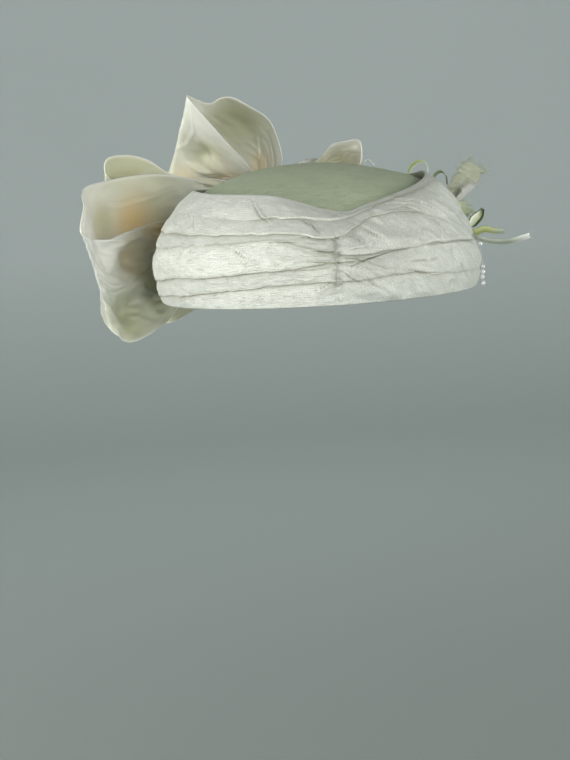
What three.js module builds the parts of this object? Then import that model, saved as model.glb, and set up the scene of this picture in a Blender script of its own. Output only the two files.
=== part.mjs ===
// Bridal hat: a small silk cap with a pleated side drape, a bow of wide ribbon at the back left
// and a spray of silk petals, ribbon grass and crystals at the back right.
//
// Millimetres, +Z up, -Y is the front of the hat and +X is its right-hand side as seen from the front.
// The origin is the middle of the head opening, in the plane of the rim.
//
// Places on the cap are given by an angle round it (0 at the front, +90 on +X, 180 at the back) and by
// a height share (0 at the rim, 1 at the lip), so every piece that touches the cap follows its surface.

import * as THREE from "three";

// ---------------------------------------------------------------- driving dimensions

const CAP_HALF_WIDTH = 89;       // across the head, outside the drape at its widest
const CAP_HALF_DEPTH = 103.5;    // front to back, likewise
const LIP_HEIGHT = 61;           // height of the drape's lip over the ears
const LIP_REACH = 0.735;         // lip radius as a share of the half width or half depth
const TIP_TILT = 6.5;            // degrees: the top falls toward the forehead
const TIP_DROP = 3.5;            // the tip's edge lies this far below the lip
const TIP_DOME = 12.5;           // rise of the tip from its edge to its middle
const DRAPE_WALL = 3;            // pleated silk on its underlay
const CROWN_WALL = 2;            // stiffened, silk-covered cap
const CROWN_DIP = { angle: 4, halfWidth: 13, depth: 2.2 };   // room behind the dip in the lip
const GAP = 0.3;                 // air between two pieces that touch

const DRAPE_COLUMNS = 72;        // facets round the drape; the crown takes half as many
const RIBBON_WALL = 1.2;
const PETAL_WALL = 0.8;
const GRASS_WALL = 0.7;

const KNOT = { x: -29.4, y: 109, bottom: 26, top: 64, radius: 10.5 };

const CRYSTAL_RADIUS = 1.45;
const CRYSTAL_BORE = 0.65;       // radius of the hole that the thread runs through
const THREAD_RADIUS = 0.2;

// ---------------------------------------------------------------- small helpers

const radians = THREE.MathUtils.degToRad;
const mix = THREE.MathUtils.lerp;
const bell = (x, middle, halfWidth) => Math.exp(-(((x - middle) / halfWidth) ** 2));

// Value of a table of [x, value] rows, joined by smooth curves.
function smooth(table, x) {
  const last = table.length - 1;
  let i = 0;
  while (i < last - 1 && x > table[i + 1][0]) i += 1;
  const slope = (k) => {
    const a = table[Math.max(k - 1, 0)];
    const b = table[Math.min(k + 1, last)];
    return (b[1] - a[1]) / (b[0] - a[0]);
  };
  const [x0, y0] = table[i];
  const [x1, y1] = table[i + 1];
  const h = x1 - x0;
  const u = Math.min(Math.max((x - x0) / h, 0), 1);
  return (2 * u ** 3 - 3 * u ** 2 + 1) * y0 + (u ** 3 - 2 * u ** 2 + u) * h * slope(i)
    + (3 * u ** 2 - 2 * u ** 3) * y1 + (u ** 3 - u ** 2) * h * slope(i + 1);
}

// A closed body from vertex rings or rows: quads between neighbours, turned to face outward.
function solidFrom(points, quads) {
  const triangles = quads.flatMap(([a, b, c, d]) => [[a, b, c], [a, c, d]])
    .filter(([a, b, c]) => a !== b && b !== c && a !== c);
  let volume = 0;
  for (const [a, b, c] of triangles) {
    volume += points[a].dot(new THREE.Vector3().crossVectors(points[b], points[c]));
  }
  const index = triangles.flatMap(([a, b, c]) => (volume > 0 ? [a, b, c] : [a, c, b]));
  const geometry = new THREE.BufferGeometry();
  geometry.setAttribute("position", new THREE.Float32BufferAttribute(points.flatMap((p) => p.toArray()), 3));
  geometry.setIndex(index);
  geometry.computeVertexNormals();
  return geometry;
}

// A body turned round the Z axis from a closed loop of rings; each ring is a list of points.
function ringSolid(rings) {
  const columns = rings[0].length;
  const points = rings.flat();
  const quads = [];
  for (let r = 0; r < rings.length; r += 1) {
    const next = (r + 1) % rings.length;
    for (let c = 0; c < columns; c += 1) {
      const d = (c + 1) % columns;
      quads.push([r * columns + c, r * columns + d, next * columns + d, next * columns + c]);
    }
  }
  return solidFrom(points, quads);
}

// A thin sheet with thickness: sheet[i][j] are its middle points, i along it and j across it.
function sheetSolid(sheet, thickness) {
  const rows = sheet.length;
  const lanes = sheet[0].length;
  const at = (i, j) => sheet[Math.min(Math.max(i, 0), rows - 1)][Math.min(Math.max(j, 0), lanes - 1)];
  const faces = [1, -1].map((side) => sheet.map((row, i) => row.map((point, j) => {
    const along = at(i + 1, j).clone().sub(at(i - 1, j));
    const across = at(i, j + 1).clone().sub(at(i, j - 1));
    const normal = along.cross(across).normalize();
    return point.clone().addScaledVector(normal, side * thickness / 2);
  })));
  const id = (face, i, j) => (face * rows + i) * lanes + j;
  const quads = [];
  for (let i = 0; i < rows - 1; i += 1) {
    for (let j = 0; j < lanes - 1; j += 1) {
      quads.push([id(0, i, j), id(0, i + 1, j), id(0, i + 1, j + 1), id(0, i, j + 1)]);
      quads.push([id(1, i, j), id(1, i, j + 1), id(1, i + 1, j + 1), id(1, i + 1, j)]);
    }
    quads.push([id(0, i + 1, 0), id(0, i, 0), id(1, i, 0), id(1, i + 1, 0)]);
    quads.push([id(0, i, lanes - 1), id(0, i + 1, lanes - 1), id(1, i + 1, lanes - 1), id(1, i, lanes - 1)]);
  }
  for (let j = 0; j < lanes - 1; j += 1) {
    quads.push([id(0, 0, j), id(0, 0, j + 1), id(1, 0, j + 1), id(1, 0, j)]);
    quads.push([id(0, rows - 1, j + 1), id(0, rows - 1, j), id(1, rows - 1, j), id(1, rows - 1, j + 1)]);
  }
  return solidFrom(faces.flat(2), quads);
}

// ---------------------------------------------------------------- materials

const silk = (color) => new THREE.MeshStandardMaterial({ color, roughness: 0.55, metalness: 0 });
const satin = (color) => new THREE.MeshStandardMaterial({ color, roughness: 0.38, metalness: 0 });

const MATERIALS = {
  drape: () => silk(0xd9dcc8),
  crown: () => silk(0xc3c9b0),
  ribbon: () => satin(0xe2dfca),
  petal: () => silk(0xd8d2b8),
  grassStriped: () => satin(0xcfd9a8),
  grassOlive: () => satin(0x9aa382),
  grassYellow: () => satin(0xa9b266),
  grassWhite: () => satin(0xd9dcc6),
  leaf: () => satin(0xdfe2c4),
  crystal: () => new THREE.MeshStandardMaterial({ color: 0xeef3f4, roughness: 0.05, metalness: 0 }),
  thread: () => new THREE.MeshStandardMaterial({ color: 0xdfe3e0, roughness: 0.3, metalness: 0 }),
};

const hat = new THREE.Group();
hat.name = "bridal_hat";

function add(name, geometry, material) {
  const mesh = new THREE.Mesh(geometry, MATERIALS[material]());
  mesh.name = name;
  hat.add(mesh);
}

// ---------------------------------------------------------------- the cap's surface

// Reach of the side wall at each height share: it bulges a third of the way up and turns in to the lip.
const SIDE_PROFILE = [
  // [height share, share of the half width or depth]
  [0.00, 0.961],
  [0.13, 0.981],
  [0.28, 0.998],
  [0.41, 1.000],
  [0.54, 0.980],
  [0.69, 0.933],
  [0.80, 0.881],
  [0.885, 0.833],
  [0.96, 0.775],
  [1.00, LIP_REACH],
];

// How far the lip stands above its plane: two soft swells either side of the dip at the centre tuck.
const LIP_SWELL = [
  // [angle, rise]
  [-180, -6],
  [-130, -6],
  [-105, -3],
  [-85, -0.3],
  [-62, 1.2],
  [-44, 2.4],
  [-32, 2.6],
  [-24, 1.7],
  [-16, -0.7],
  [-6, -4.4],
  [2, -6.4],
  [7, -6.4],
  [13, -4.5],
  [20, -2.9],
  [28, -1.2],
  [40, 0.5],
  [54, 2],
  [72, 3.1],
  [90, 2.2],
  [108, -2],
  [135, -6],
  [180, -6],
];

// The wall over the ear on +X is pressed inward, most of all a little above its middle.
const SIDE_PRESS = { angle: 88, halfWidth: 42 };
const PRESS_DEPTH = [
  // [height share, inward]
  [0, 0],
  [0.15, 0.4],
  [0.3, 2.6],
  [0.45, 5.2],
  [0.6, 5.8],
  [0.8, 4.8],
  [1, 4],
];

const tiltRise = (y) => y * Math.tan(radians(TIP_TILT));
const wrapAngle = (angle) => ((angle + 540) % 360) - 180;
const sidePress = (angle, height) => (
  smooth(PRESS_DEPTH, height) * bell(wrapAngle(angle), SIDE_PRESS.angle, SIDE_PRESS.halfWidth));

function lipHeight(angle) {
  const y = -LIP_REACH * CAP_HALF_DEPTH * Math.cos(radians(angle));
  return LIP_HEIGHT + tiltRise(y) + smooth(LIP_SWELL, wrapAngle(angle));
}

// A point near the side wall: `out` is its distance outside the wall, measured level.
function onCap(angle, height, out = 0) {
  const reach = smooth(SIDE_PROFILE, height);
  const beyond = out - sidePress(angle, height);
  return new THREE.Vector3(
    (CAP_HALF_WIDTH * reach + beyond) * Math.sin(radians(angle)),
    -(CAP_HALF_DEPTH * reach + beyond) * Math.cos(radians(angle)),
    height * lipHeight(angle),
  );
}

const ring = (columns, pointAt) => (
  Array.from({ length: columns }, (_, c) => pointAt(-180 + (360 * c) / columns)));

// ---------------------------------------------------------------- side drape

// The pleats: each crease runs right round the drape. Its height share and its depth are given at
// these angles; a pleat's upper fold hangs over the crease below it, and all meet at the centre tuck.
const PLEAT_ANGLES = [-180, -100, -62, -34, -18, -3, 8, 20, 32, 40, 62, 95, 180];
const CREASES = [
  {
    height: [0.13, 0.08, 0.125, 0.195, 0.24, 0.27, 0.275, 0.28, 0.225, 0.2, 0.17, 0.15, 0.13],
    depth: [0.5, 0.6, 0.8, 1, 1.2, 1.5, 1.3, 1, 0.6, 0.4, 0.3, 0.4, 0.5],
  },
  {
    height: [0.33, 0.215, 0.28, 0.32, 0.375, 0.475, 0.485, 0.505, 0.49, 0.47, 0.41, 0.4, 0.33],
    depth: [0.3, 0.5, 0.8, 1, 1.2, 1.6, 0.3, 0, 0, 0, 0.1, 0.2, 0.3],
  },
  {
    height: [0.53, 0.52, 0.55, 0.605, 0.615, 0.555, 0.548, 0.525, 0.53, 0.515, 0.462, 0.455, 0.53],
    depth: [0.6, 0.4, 0.35, 0.4, 0.6, 1.3, 1.9, 2.2, 2.3, 2.3, 2.2, 1.6, 0.6],
  },
  {
    height: [0.7, 0.67, 0.665, 0.672, 0.705, 0.725, 0.865, 0.885, 0.82, 0.72, 0.66, 0.66, 0.7],
    depth: [0.8, 0.4, 1.2, 1.8, 1.8, 1.6, 1.5, 1.2, 0.5, 0.1, 0.1, 0.3, 0.8],
  },
  {
    height: [0.84, 0.84, 0.82, 0.79, 0.85, 0.905, 0.965, 0.975, 0.97, 0.965, 0.96, 0.92, 0.84],
    depth: [0.1, 0.1, 0.1, 0.5, 1.6, 1.9, 1.2, 0.8, 0.6, 0.5, 0.4, 0.2, 0.1],
  },
];
const FOLD_SPREAD = 0.016;        // height share from a crease up to the fold that hangs over it
const FOLD_OVERHANG = 0.6;        // share of a pleat's depth that stands out; the rest is cut in
const PLEAT_PUFF = 0.5;           // swell of the cloth between two creases
const TUCK = { angle: -2.7, halfWidth: 3.5, depth: 1.8, from: 0.24, to: 0.70 };

const alongPleat = (values, angle) => smooth(PLEAT_ANGLES.map((a, i) => [a, values[i]]), angle);

function tuckDepth(angle, height) {
  const inside = height > TUCK.from && height < TUCK.to ? 1 : 0.25;
  return TUCK.depth * inside * bell(angle, TUCK.angle, TUCK.halfWidth);
}

function drapeSolid() {
  const rows = [];
  const addRow = (heightAt, outAt) => rows.push(ring(DRAPE_COLUMNS, (angle) => {
    const height = heightAt(angle);
    return onCap(angle, height, outAt(angle, height));
  }));
  const creaseHeight = (k) => (angle) => alongPleat(CREASES[k].height, angle);
  const creaseDepth = (k, angle) => alongPleat(CREASES[k].depth, angle);

  addRow(() => 0, () => -0.9);
  addRow(() => 0.025, () => 0);
  CREASES.forEach((_, k) => {
    const below = k === 0 ? () => 0.025 : creaseHeight(k - 1);
    const here = creaseHeight(k);
    addRow((a) => mix(below(a), here(a), 0.5), (a, h) => PLEAT_PUFF - tuckDepth(a, h));
    addRow(here, (a, h) => -(1 - FOLD_OVERHANG) * creaseDepth(k, a) - tuckDepth(a, h));
    addRow((a) => here(a) + FOLD_SPREAD, (a, h) => FOLD_OVERHANG * creaseDepth(k, a) - tuckDepth(a, h));
  });
  addRow((a) => mix(creaseHeight(4)(a), 1, 0.62), () => 0.4);
  addRow(() => 1, () => -0.4);
  // round the lip and down the smooth inner side
  addRow(() => 0.992, () => -2.6);
  for (const height of [0.95, 0.885, 0.69, 0.54, 0.28, 0.012]) {
    addRow(() => height, () => -DRAPE_WALL);
  }
  return ringSolid(rows);
}

// ---------------------------------------------------------------- crown

// The tip: a shallow dome on the tilted plane, its edge following the swell of the lip.
function onTip(angle, share, below = 0) {
  const edge = LIP_REACH + 0.025;
  const press = sidePress(angle, 1);
  const x = (CAP_HALF_WIDTH * edge - press) * share * Math.sin(radians(angle));
  const y = -(CAP_HALF_DEPTH * edge - press) * share * Math.cos(radians(angle));
  const swell = smooth(LIP_SWELL, wrapAngle(angle)) * share ** 4;
  const rise = TIP_DOME * (1 - share ** 2) - TIP_DROP - 3.2 * share ** 8;
  return new THREE.Vector3(x, y, LIP_HEIGHT + tiltRise(y) + swell + rise - below);
}

// The crown is one shell. Its outer and inner faces each end in a point in the middle of the tip.
function crownSolid() {
  const columns = DRAPE_COLUMNS / 2;
  const dip = (angle) => CROWN_DIP.depth * bell(angle, CROWN_DIP.angle, CROWN_DIP.halfWidth);
  const outer = (angle) => -DRAPE_WALL - GAP - dip(angle);
  const outerRings = [
    ...[0.02, 0.28, 0.54, 0.69, 0.885].map((height) => ring(columns, (a) => onCap(a, height, outer(a)))),
    ...[0.93, 0.78, 0.6, 0.4, 0.2].map((share) => ring(columns, (a) => onTip(a, share))),
  ];
  const innerRings = [
    ...[0.2, 0.4, 0.6, 0.78, 0.92].map((share) => ring(columns, (a) => onTip(a, share, CROWN_WALL))),
    ...[0.845, 0.69, 0.54, 0.28, 0.02].map((height) => ring(columns, (a) => (
      onCap(a, height, outer(a) - CROWN_WALL)))),
  ];
  const rings = [...outerRings, ...innerRings];
  const points = [...rings.flat(), onTip(0, 0), onTip(0, 0, CROWN_WALL)];
  const above = points.length - 2;
  const below = points.length - 1;
  const id = (r, c) => (r % rings.length) * columns + (c % columns);
  const quads = [];
  for (let r = 0; r < rings.length; r += 1) {
    for (let c = 0; c < columns; c += 1) {
      if (r === outerRings.length - 1) {
        quads.push([id(r, c), id(r, c + 1), above, above]);
        quads.push([id(r + 1, c + 1), id(r + 1, c), below, below]);
      } else {
        quads.push([id(r, c), id(r, c + 1), id(r + 1, c + 1), id(r + 1, c)]);
      }
    }
  }
  return solidFrom(points, quads);
}

add("crown", crownSolid(), "crown");
add("side_drape", drapeSolid(), "drape");

// ---------------------------------------------------------------- ribbon loops

// A strip of ribbon through a table of stations. Each station gives the ribbon's two edges and how far
// its middle bellies out; `steps` is the number of facets between neighbouring stations.
function stripSheet(stations, { steps, lanes }) {
  const curve = (offset) => new THREE.CatmullRomCurve3(
    stations.map((s) => new THREE.Vector3(s[offset], s[offset + 1], s[offset + 2])), false, "centripetal",
  );
  const edges = [curve(0), curve(3)];
  const rows = (stations.length - 1) * steps;
  const bellyTable = stations.map((s, i) => [i / (stations.length - 1), s[6]]);
  const flat = Array.from({ length: rows + 1 }, (_, i) => edges.map((edge) => edge.getPoint(i / rows)));
  return flat.map(([near, far], i) => {
    const before = flat[Math.max(i - 1, 0)];
    const after = flat[Math.min(i + 1, rows)];
    const along = after[0].clone().add(after[1]).sub(before[0]).sub(before[1]);
    const normal = along.cross(far.clone().sub(near)).normalize();
    const belly = smooth(bellyTable, i / rows);
    return Array.from({ length: lanes + 1 }, (_, j) => {
      const s = j / lanes;
      return near.clone().lerp(far, s).addScaledVector(normal, belly * Math.sin(Math.PI * s));
    });
  });
}

// Stations run from the knot round the loop and back to the knot.
const BOW_FACETS = { steps: 3, lanes: 4 };
const BOW_LOOPS = {
  // the large loop over the ear: its mouth faces up and forward
  bow_loop_large: [
    // upper edge x, y, z     lower edge x, y, z     belly
    [-39.4, 104.8, 60, -39.4, 104.8, 46, 0],
    [-52, 95, 64, -58, 101, 30, 1],
    [-64, 83, 68, -75, 94, 14, 2],
    [-86, 65, 71, -94, 80, 8, 4],
    [-109, 48, 69, -109, 63, 4, 4],
    [-124, 25, 65, -118, 46, 1, 3],
    [-125, 5, 55, -119, 28, -6, 3],
    [-127.5, -4, 42, -115, 15, -13, 2],
    [-117, 6, 37, -106, 20, -21, 2],
    [-101, 26, 40, -90, 34, -17, 4],
    [-86, 54, 43, -76, 61, -9, 3],
    [-70, 76, 45, -66, 79, 2, 1],
    [-50, 94, 44, -50, 96, 22, 0],
    [-36.8, 100.4, 43, -36.8, 100.4, 30, 0],
  ],
  // the lobe that stands up behind it
  bow_loop_back: [
    [-40.2, 112.2, 61, -40.2, 112.2, 46, 0],
    [-54, 104, 65, -58, 114, 34, 1],
    [-65, 96, 68, -74, 112, 24, 2],
    [-74, 91, 72, -86, 106, 19, 3],
    [-84, 85, 79, -96, 99, 18, 3],
    [-97, 77, 83, -106, 92, 18, 2],
    [-109, 70, 81, -113, 84, 18, 0],
    [-110, 67, 73, -111, 79, 15, 0],
    [-102, 72, 66, -103, 82, 12, 0],
    [-88, 80, 62, -92, 90, 14, 0],
    [-72, 87, 58, -78, 100, 20, 0],
    [-56, 98, 56, -60, 107, 30, 0],
    [-40.4, 108.5, 58, -40.4, 108.5, 44, 0],
  ],
  // the upright cone: its mouth faces up and to the right
  bow_loop_upright: [
    [-24, 104, 64.9, -36, 104, 64.9, 0],
    [-24, 95, 70, -46, 110, 65.4, 0],
    [-36, 86, 85, -57, 110.5, 64, 0],
    [-48, 80, 100, -66, 110, 65, -2],
    [-59, 79, 114.5, -71, 111, 67, 0],
    [-52, 88, 112, -72, 117, 69, 0],
    [-44, 97, 110, -66, 124, 69, 3],
    [-37.5, 101.5, 113.5, -56, 127, 68, 5],
    [-31, 103, 113.3, -46, 127, 66, 6],
    [-20, 105, 107, -38, 125, 65, 5],
    [-10, 105, 99.5, -30, 122, 65, 4],
    [-5, 105, 89, -24, 120, 65, 2],
    [-4, 106, 70, -26, 119, 65, 1],
    [-23, 113, 64.9, -35, 113, 64.9, 0],
  ],
  // the small loop behind the crown
  bow_loop_small: [
    [-18.5, 107.6, 56, -18.5, 107.6, 42, 0],
    [-4, 110, 58, -5, 110, 32, 0],
    [24, 102, 60, 26, 110, 32, 0],
    [37, 100, 62, 39, 112, 36, 0],
    [43, 101, 68, 45, 115, 44, 0],
    [45.5, 102.5, 78, 46.5, 119, 52, 0],
    [44.5, 104, 83.5, 43, 122, 58, 0],
    [36, 105, 83.5, 35, 124, 60, 0],
    [28, 106, 82, 27, 124, 58, 0],
    [23, 107, 77, 20, 123, 52, 0],
    [16, 109, 71, 10, 121, 42, 0],
    [2, 113, 64, 0, 121, 36, 0],
    [-19.6, 114, 56, -19.6, 114, 42, 0],
  ],
  // the low loop that hangs under the rim
  bow_loop_low: [
    [-35.5, 119.4, 42, -35.5, 119.4, 30, 0],
    [-50, 122, 32, -48, 118, 8, 0],
    [-66, 116, 20, -64, 108, -8, 0],
    [-80, 106, 8, -78, 98, -14, 0],
    [-87, 97, 2, -84, 90, -17, 0],
    [-81, 91, 3, -77, 86, -17, 0],
    [-69, 96, 8, -67, 90, -13, 0],
    [-56, 104, 16, -54, 99, -6, 0],
    [-44, 109, 25, -44, 106, 10, 0],
    [-40, 113.6, 36, -40, 113.6, 26, 0],
  ],
  // the ribbon's end, standing up behind the crown
  bow_tail: [
    [-23.4, 118.6, 57, -23.4, 118.6, 44, 0],
    [-10, 126, 60, -9, 126, 34, 0],
    [3, 128.5, 68, 5, 128, 26, 0],
    [13, 128.5, 73.5, 15, 128, 24, 0],
    [24, 127.5, 74, 25, 127, 26, 0],
  ],
};

for (const [name, stations] of Object.entries(BOW_LOOPS)) {
  add(name, sheetSolid(stripSheet(stations, BOW_FACETS), RIBBON_WALL), "ribbon");
}

function knotSolid() {
  const half = (KNOT.top - KNOT.bottom) / 2;
  const profile = [
    new THREE.Vector2(0, -half),
    new THREE.Vector2(KNOT.radius * 0.7, -half),
    new THREE.Vector2(KNOT.radius, -half * 0.8),
    new THREE.Vector2(KNOT.radius, half * 0.8),
    new THREE.Vector2(KNOT.radius * 0.7, half),
    new THREE.Vector2(0, half),
  ];
  return new THREE.LatheGeometry(profile, 20).rotateX(Math.PI / 2)
    .translate(KNOT.x, KNOT.y, (KNOT.top + KNOT.bottom) / 2);
}

add("bow_knot", knotSolid(), "ribbon");

// ---------------------------------------------------------------- spray

// The pad that carries the spray lies on the drape along the back right.
const PAD = { from: 97, to: 152, low: 0.42, high: 0.74, lift: 2.9, wall: 2.2 };

function padSolid() {
  const rows = 12;
  const lanes = 4;
  const sheet = Array.from({ length: rows + 1 }, (_, i) => {
    const angle = mix(PAD.from, PAD.to, i / rows);
    const round = Math.sqrt(Math.sin(Math.PI * mix(0.06, 0.94, i / rows)));
    const middle = (PAD.low + PAD.high) / 2;
    const half = ((PAD.high - PAD.low) / 2) * round;
    return Array.from({ length: lanes + 1 }, (_, j) => (
      onCap(angle, mix(middle - half, middle + half, j / lanes), PAD.lift)));
  });
  return sheetSolid(sheet, PAD.wall);
}

add("spray_pad", padSolid(), "petal");

// Petals and grass blades grow from the pad: a root on it, then stations along the blade. `side` is the
// direction across the blade; widths are in millimetres and `cup` bellies its middle out.
const ROOT_LIFT = PAD.lift + PAD.wall / 2 + GAP;

const BLADES = [
  {
    name: "petal_tall", material: "petal", wall: PETAL_WALL, cup: 2, lanes: 4, steps: 3,
    root: { angle: 117, height: 0.66, width: 5, lift: 1.4 }, side: [0.75, 0.1, -0.5],
    path: [
      // x, y, z, width
      [90.5, 54, 50, 8],
      [96, 57.5, 55, 10.5],
      [101.5, 60, 60, 14],
      [105, 61.5, 63.5, 12.5],
    ],
  },
  {
    name: "petal_inner", material: "petal", wall: PETAL_WALL, cup: 1.5, lanes: 4, steps: 3,
    root: { angle: 112, height: 0.62, width: 4, lift: 1.3 }, side: [0.5, 0.6, -0.4],
    path: [
      [91.5, 44, 46, 5],
      [95.5, 47, 49.5, 8],
      [100, 50, 52.5, 6],
    ],
  },
  {
    name: "petal_low", material: "petal", wall: PETAL_WALL, cup: 1.5, lanes: 4, steps: 3,
    root: { angle: 107, height: 0.58, width: 4, lift: 1.7 }, side: [0.3, 0.5, 0.6],
    path: [
      [90.5, 35, 38.5, 5],
      [93, 37, 40.5, 6],
      [95.5, 39, 41.5, 4],
    ],
  },
  {
    name: "leaf_striped", material: "leaf", wall: GRASS_WALL, cup: 1, lanes: 4, steps: 3,
    root: { angle: 101, height: 0.52, width: 3, lift: 1.2 }, side: [-0.7, 0.2, 0.5],
    path: [
      [91.5, 21, 31, 4.5],
      [95, 23.5, 33.8, 6],
      [98.5, 26, 36.5, 4.5],
      [101, 28.5, 39.5, 1.3],
    ],
  },
  {
    name: "grass_yellow", material: "grassYellow", wall: GRASS_WALL, cup: 0.4, lanes: 2, steps: 3,
    root: { angle: 108, height: 0.49, width: 3, lift: 0.8 }, side: [0, 0.45, 0.9],
    path: [
      [94, 22.5, 26.6, 4],
      [100, 25, 27.9, 4],
      [107, 28, 26.4, 3.6],
      [113, 30, 25.7, 2.6],
    ],
  },
  {
    name: "grass_white", material: "grassWhite", wall: GRASS_WALL, cup: 0.4, lanes: 2, steps: 3,
    root: { angle: 104, height: 0.47, width: 3, lift: 0.4 }, side: [0, 0.5, 0.85],
    path: [
      [97, 17.5, 22.4, 3.4],
      [112, 21.5, 20.1, 3.4],
      [126.8, 26, 22.4, 3.4],
    ],
  },
  {
    name: "grass_curl_striped", material: "grassStriped", wall: GRASS_WALL, cup: 0.3, lanes: 2, steps: 3,
    root: { angle: 139, height: 0.72, width: 3, lift: 0.8 }, side: [0.25, 0.65, -0.6],
    path: [
      [69, 89, 56, 3.4],
      [72, 88, 64.5, 3.4],
      [77.5, 86, 68.2, 3.4],
      [81.6, 86, 65.8, 3.4],
      [82.4, 86, 59, 2.4],
    ],
  },
  {
    name: "grass_curl_olive", material: "grassOlive", wall: GRASS_WALL, cup: 0.3, lanes: 2, steps: 3,
    root: { angle: 127, height: 0.7, width: 3, lift: 1.3 }, side: [0.45, 0.75, -0.45],
    path: [
      [81, 71, 53, 3.2],
      [82.7, 70, 59.6, 3.2],
      [86.3, 70, 61.6, 3.2],
      [88.9, 69, 59.6, 3.2],
      [89.5, 68, 54, 2.4],
    ],
  },
  {
    name: "grass_curl_pale", material: "grassWhite", wall: GRASS_WALL, cup: 0.3, lanes: 2, steps: 3,
    root: { angle: 144, height: 0.66, width: 3, lift: 1.8 }, side: [0.3, 0.9, 0],
    path: [
      [50, 97, 52, 3],
      [45, 98, 66, 3],
      [48, 98, 71.5, 3],
      [52, 98, 68, 2.4],
    ],
  },
];

for (const blade of BLADES) {
  const { angle, height, width, lift } = blade.root;
  const side = new THREE.Vector3(...blade.side).normalize();
  const root = onCap(angle, height, ROOT_LIFT + lift);
  const stations = [[...root.toArray(), width], ...blade.path].map(([x, y, z, across], i) => {
    const near = new THREE.Vector3(x, y, z).addScaledVector(side, across / 2);
    const far = new THREE.Vector3(x, y, z).addScaledVector(side, -across / 2);
    return [...near.toArray(), ...far.toArray(), i === 0 ? 0 : blade.cup];
  });
  add(blade.name, sheetSolid(stripSheet(stations, blade), blade.wall), blade.material);
}

// ---------------------------------------------------------------- crystals

// A clear thread runs down the drape from the pad, with one crystal high on it and four near the rim.
const STRING = [
  // angle, height share, distance outside the wall
  [97, 0.44, 4.6],
  [90, 0.37, 5.6],
  [86, 0.29, 3.6],
  [82, 0.19, 2.6],
  [80, 0.11, 2.5],
  [79.5, 0.05, 2.7],
  [78, -0.02, 3.8],
];
const CRYSTAL_HEIGHTS = [21, 9.2, 6.5, 3.8, 0.4];

const string = new THREE.CatmullRomCurve3(STRING.map(([angle, height, out]) => {
  const point = onCap(angle, Math.max(height, 0), out);
  return point.setZ(height * lipHeight(angle));
}));

function threadSolid() {
  const section = new THREE.Shape().absarc(0, 0, THREAD_RADIUS, 0, 2 * Math.PI);
  return new THREE.ExtrudeGeometry(section, { steps: 20, curveSegments: 4, extrudePath: string });
}

// A drilled bicone: eight facets above and below a narrow girdle, and a flat table round each hole.
function crystalSolid() {
  const bore = CRYSTAL_BORE / CRYSTAL_RADIUS;
  const profile = [
    [bore, -0.8], [0.6, -0.8], [1, -0.12], [1, 0.12], [0.6, 0.8], [bore, 0.8], [bore, -0.8],
  ].map(([r, z]) => new THREE.Vector2(r * CRYSTAL_RADIUS, z * CRYSTAL_RADIUS));
  return new THREE.LatheGeometry(profile, 8);
}

// Share of the thread's length at which it passes a height above the rim.
function shareAtHeight(z) {
  let [low, high] = [0, 1];
  for (let i = 0; i < 24; i += 1) {
    const middle = (low + high) / 2;
    if (string.getPointAt(middle).z > z) low = middle;
    else high = middle;
  }
  return low;
}

CRYSTAL_HEIGHTS.forEach((height, i) => {
  const share = shareAtHeight(height);
  const bore = new THREE.Vector3(0, 1, 0);
  const turn = new THREE.Quaternion().setFromUnitVectors(bore, string.getTangentAt(share));
  const place = string.getPointAt(share);
  const bead = crystalSolid().applyQuaternion(turn).translate(place.x, place.y, place.z);
  add(`crystal_${i + 1}`, bead, "crystal");
});
add("crystal_thread", threadSolid(), "thread");

export default hat;
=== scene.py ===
# %% [markdown]
# # A bridal hat in ivory silk
#
# The hat is a small stiff cap with a dome-topped crown. A band of slubbed silk is draped round its
# side in five pleats that meet in a stitched tuck at the centre front. A bow of wide satin ribbon
# stands at the back left, and a spray of frayed silk petals, ribbon grass and crystals at the back
# right.
#
# The imported model is loaded first. It is the frame for everything else: its coordinates are metres,
# +Z is up, the wearer looks along -Y, and the origin is the middle of the head opening.

# %% Load the imported hat
import math

import bpy
import numpy as np
from mathutils import Matrix, Vector


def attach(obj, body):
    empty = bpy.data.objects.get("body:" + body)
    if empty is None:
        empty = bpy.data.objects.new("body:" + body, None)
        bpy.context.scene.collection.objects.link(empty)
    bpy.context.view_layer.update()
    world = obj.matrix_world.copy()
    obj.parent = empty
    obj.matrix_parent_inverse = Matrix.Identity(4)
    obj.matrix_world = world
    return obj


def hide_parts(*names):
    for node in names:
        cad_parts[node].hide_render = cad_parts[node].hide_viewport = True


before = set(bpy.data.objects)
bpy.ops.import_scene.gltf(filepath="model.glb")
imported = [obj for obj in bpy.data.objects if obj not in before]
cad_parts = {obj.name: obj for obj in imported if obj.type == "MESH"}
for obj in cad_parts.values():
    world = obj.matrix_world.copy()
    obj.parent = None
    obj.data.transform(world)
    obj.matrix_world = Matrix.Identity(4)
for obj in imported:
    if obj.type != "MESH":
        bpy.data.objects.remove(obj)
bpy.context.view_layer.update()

# %% [markdown]
# ## Camera
#
# A hat on a stand is shot from a metre or so with a short telephoto lens, a little above the rim, so
# that the ellipses stay calm. The camera could be aimed with a Track To constraint, but a plain
# matrix is easier to keep: the Z column points back from the subject, and the X and Y columns are
# turned about it by the small tilt at which a hat is worn.

# %% Camera
CAMERA_PLACE = Vector((-0.13909, -0.98966, 0.0699))
CAMERA_AIM = Vector((-0.02215, 0, -0.04649))
CAMERA_ROLL = math.radians(-3.695)
CAMERA_LENS = 86.116


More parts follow.
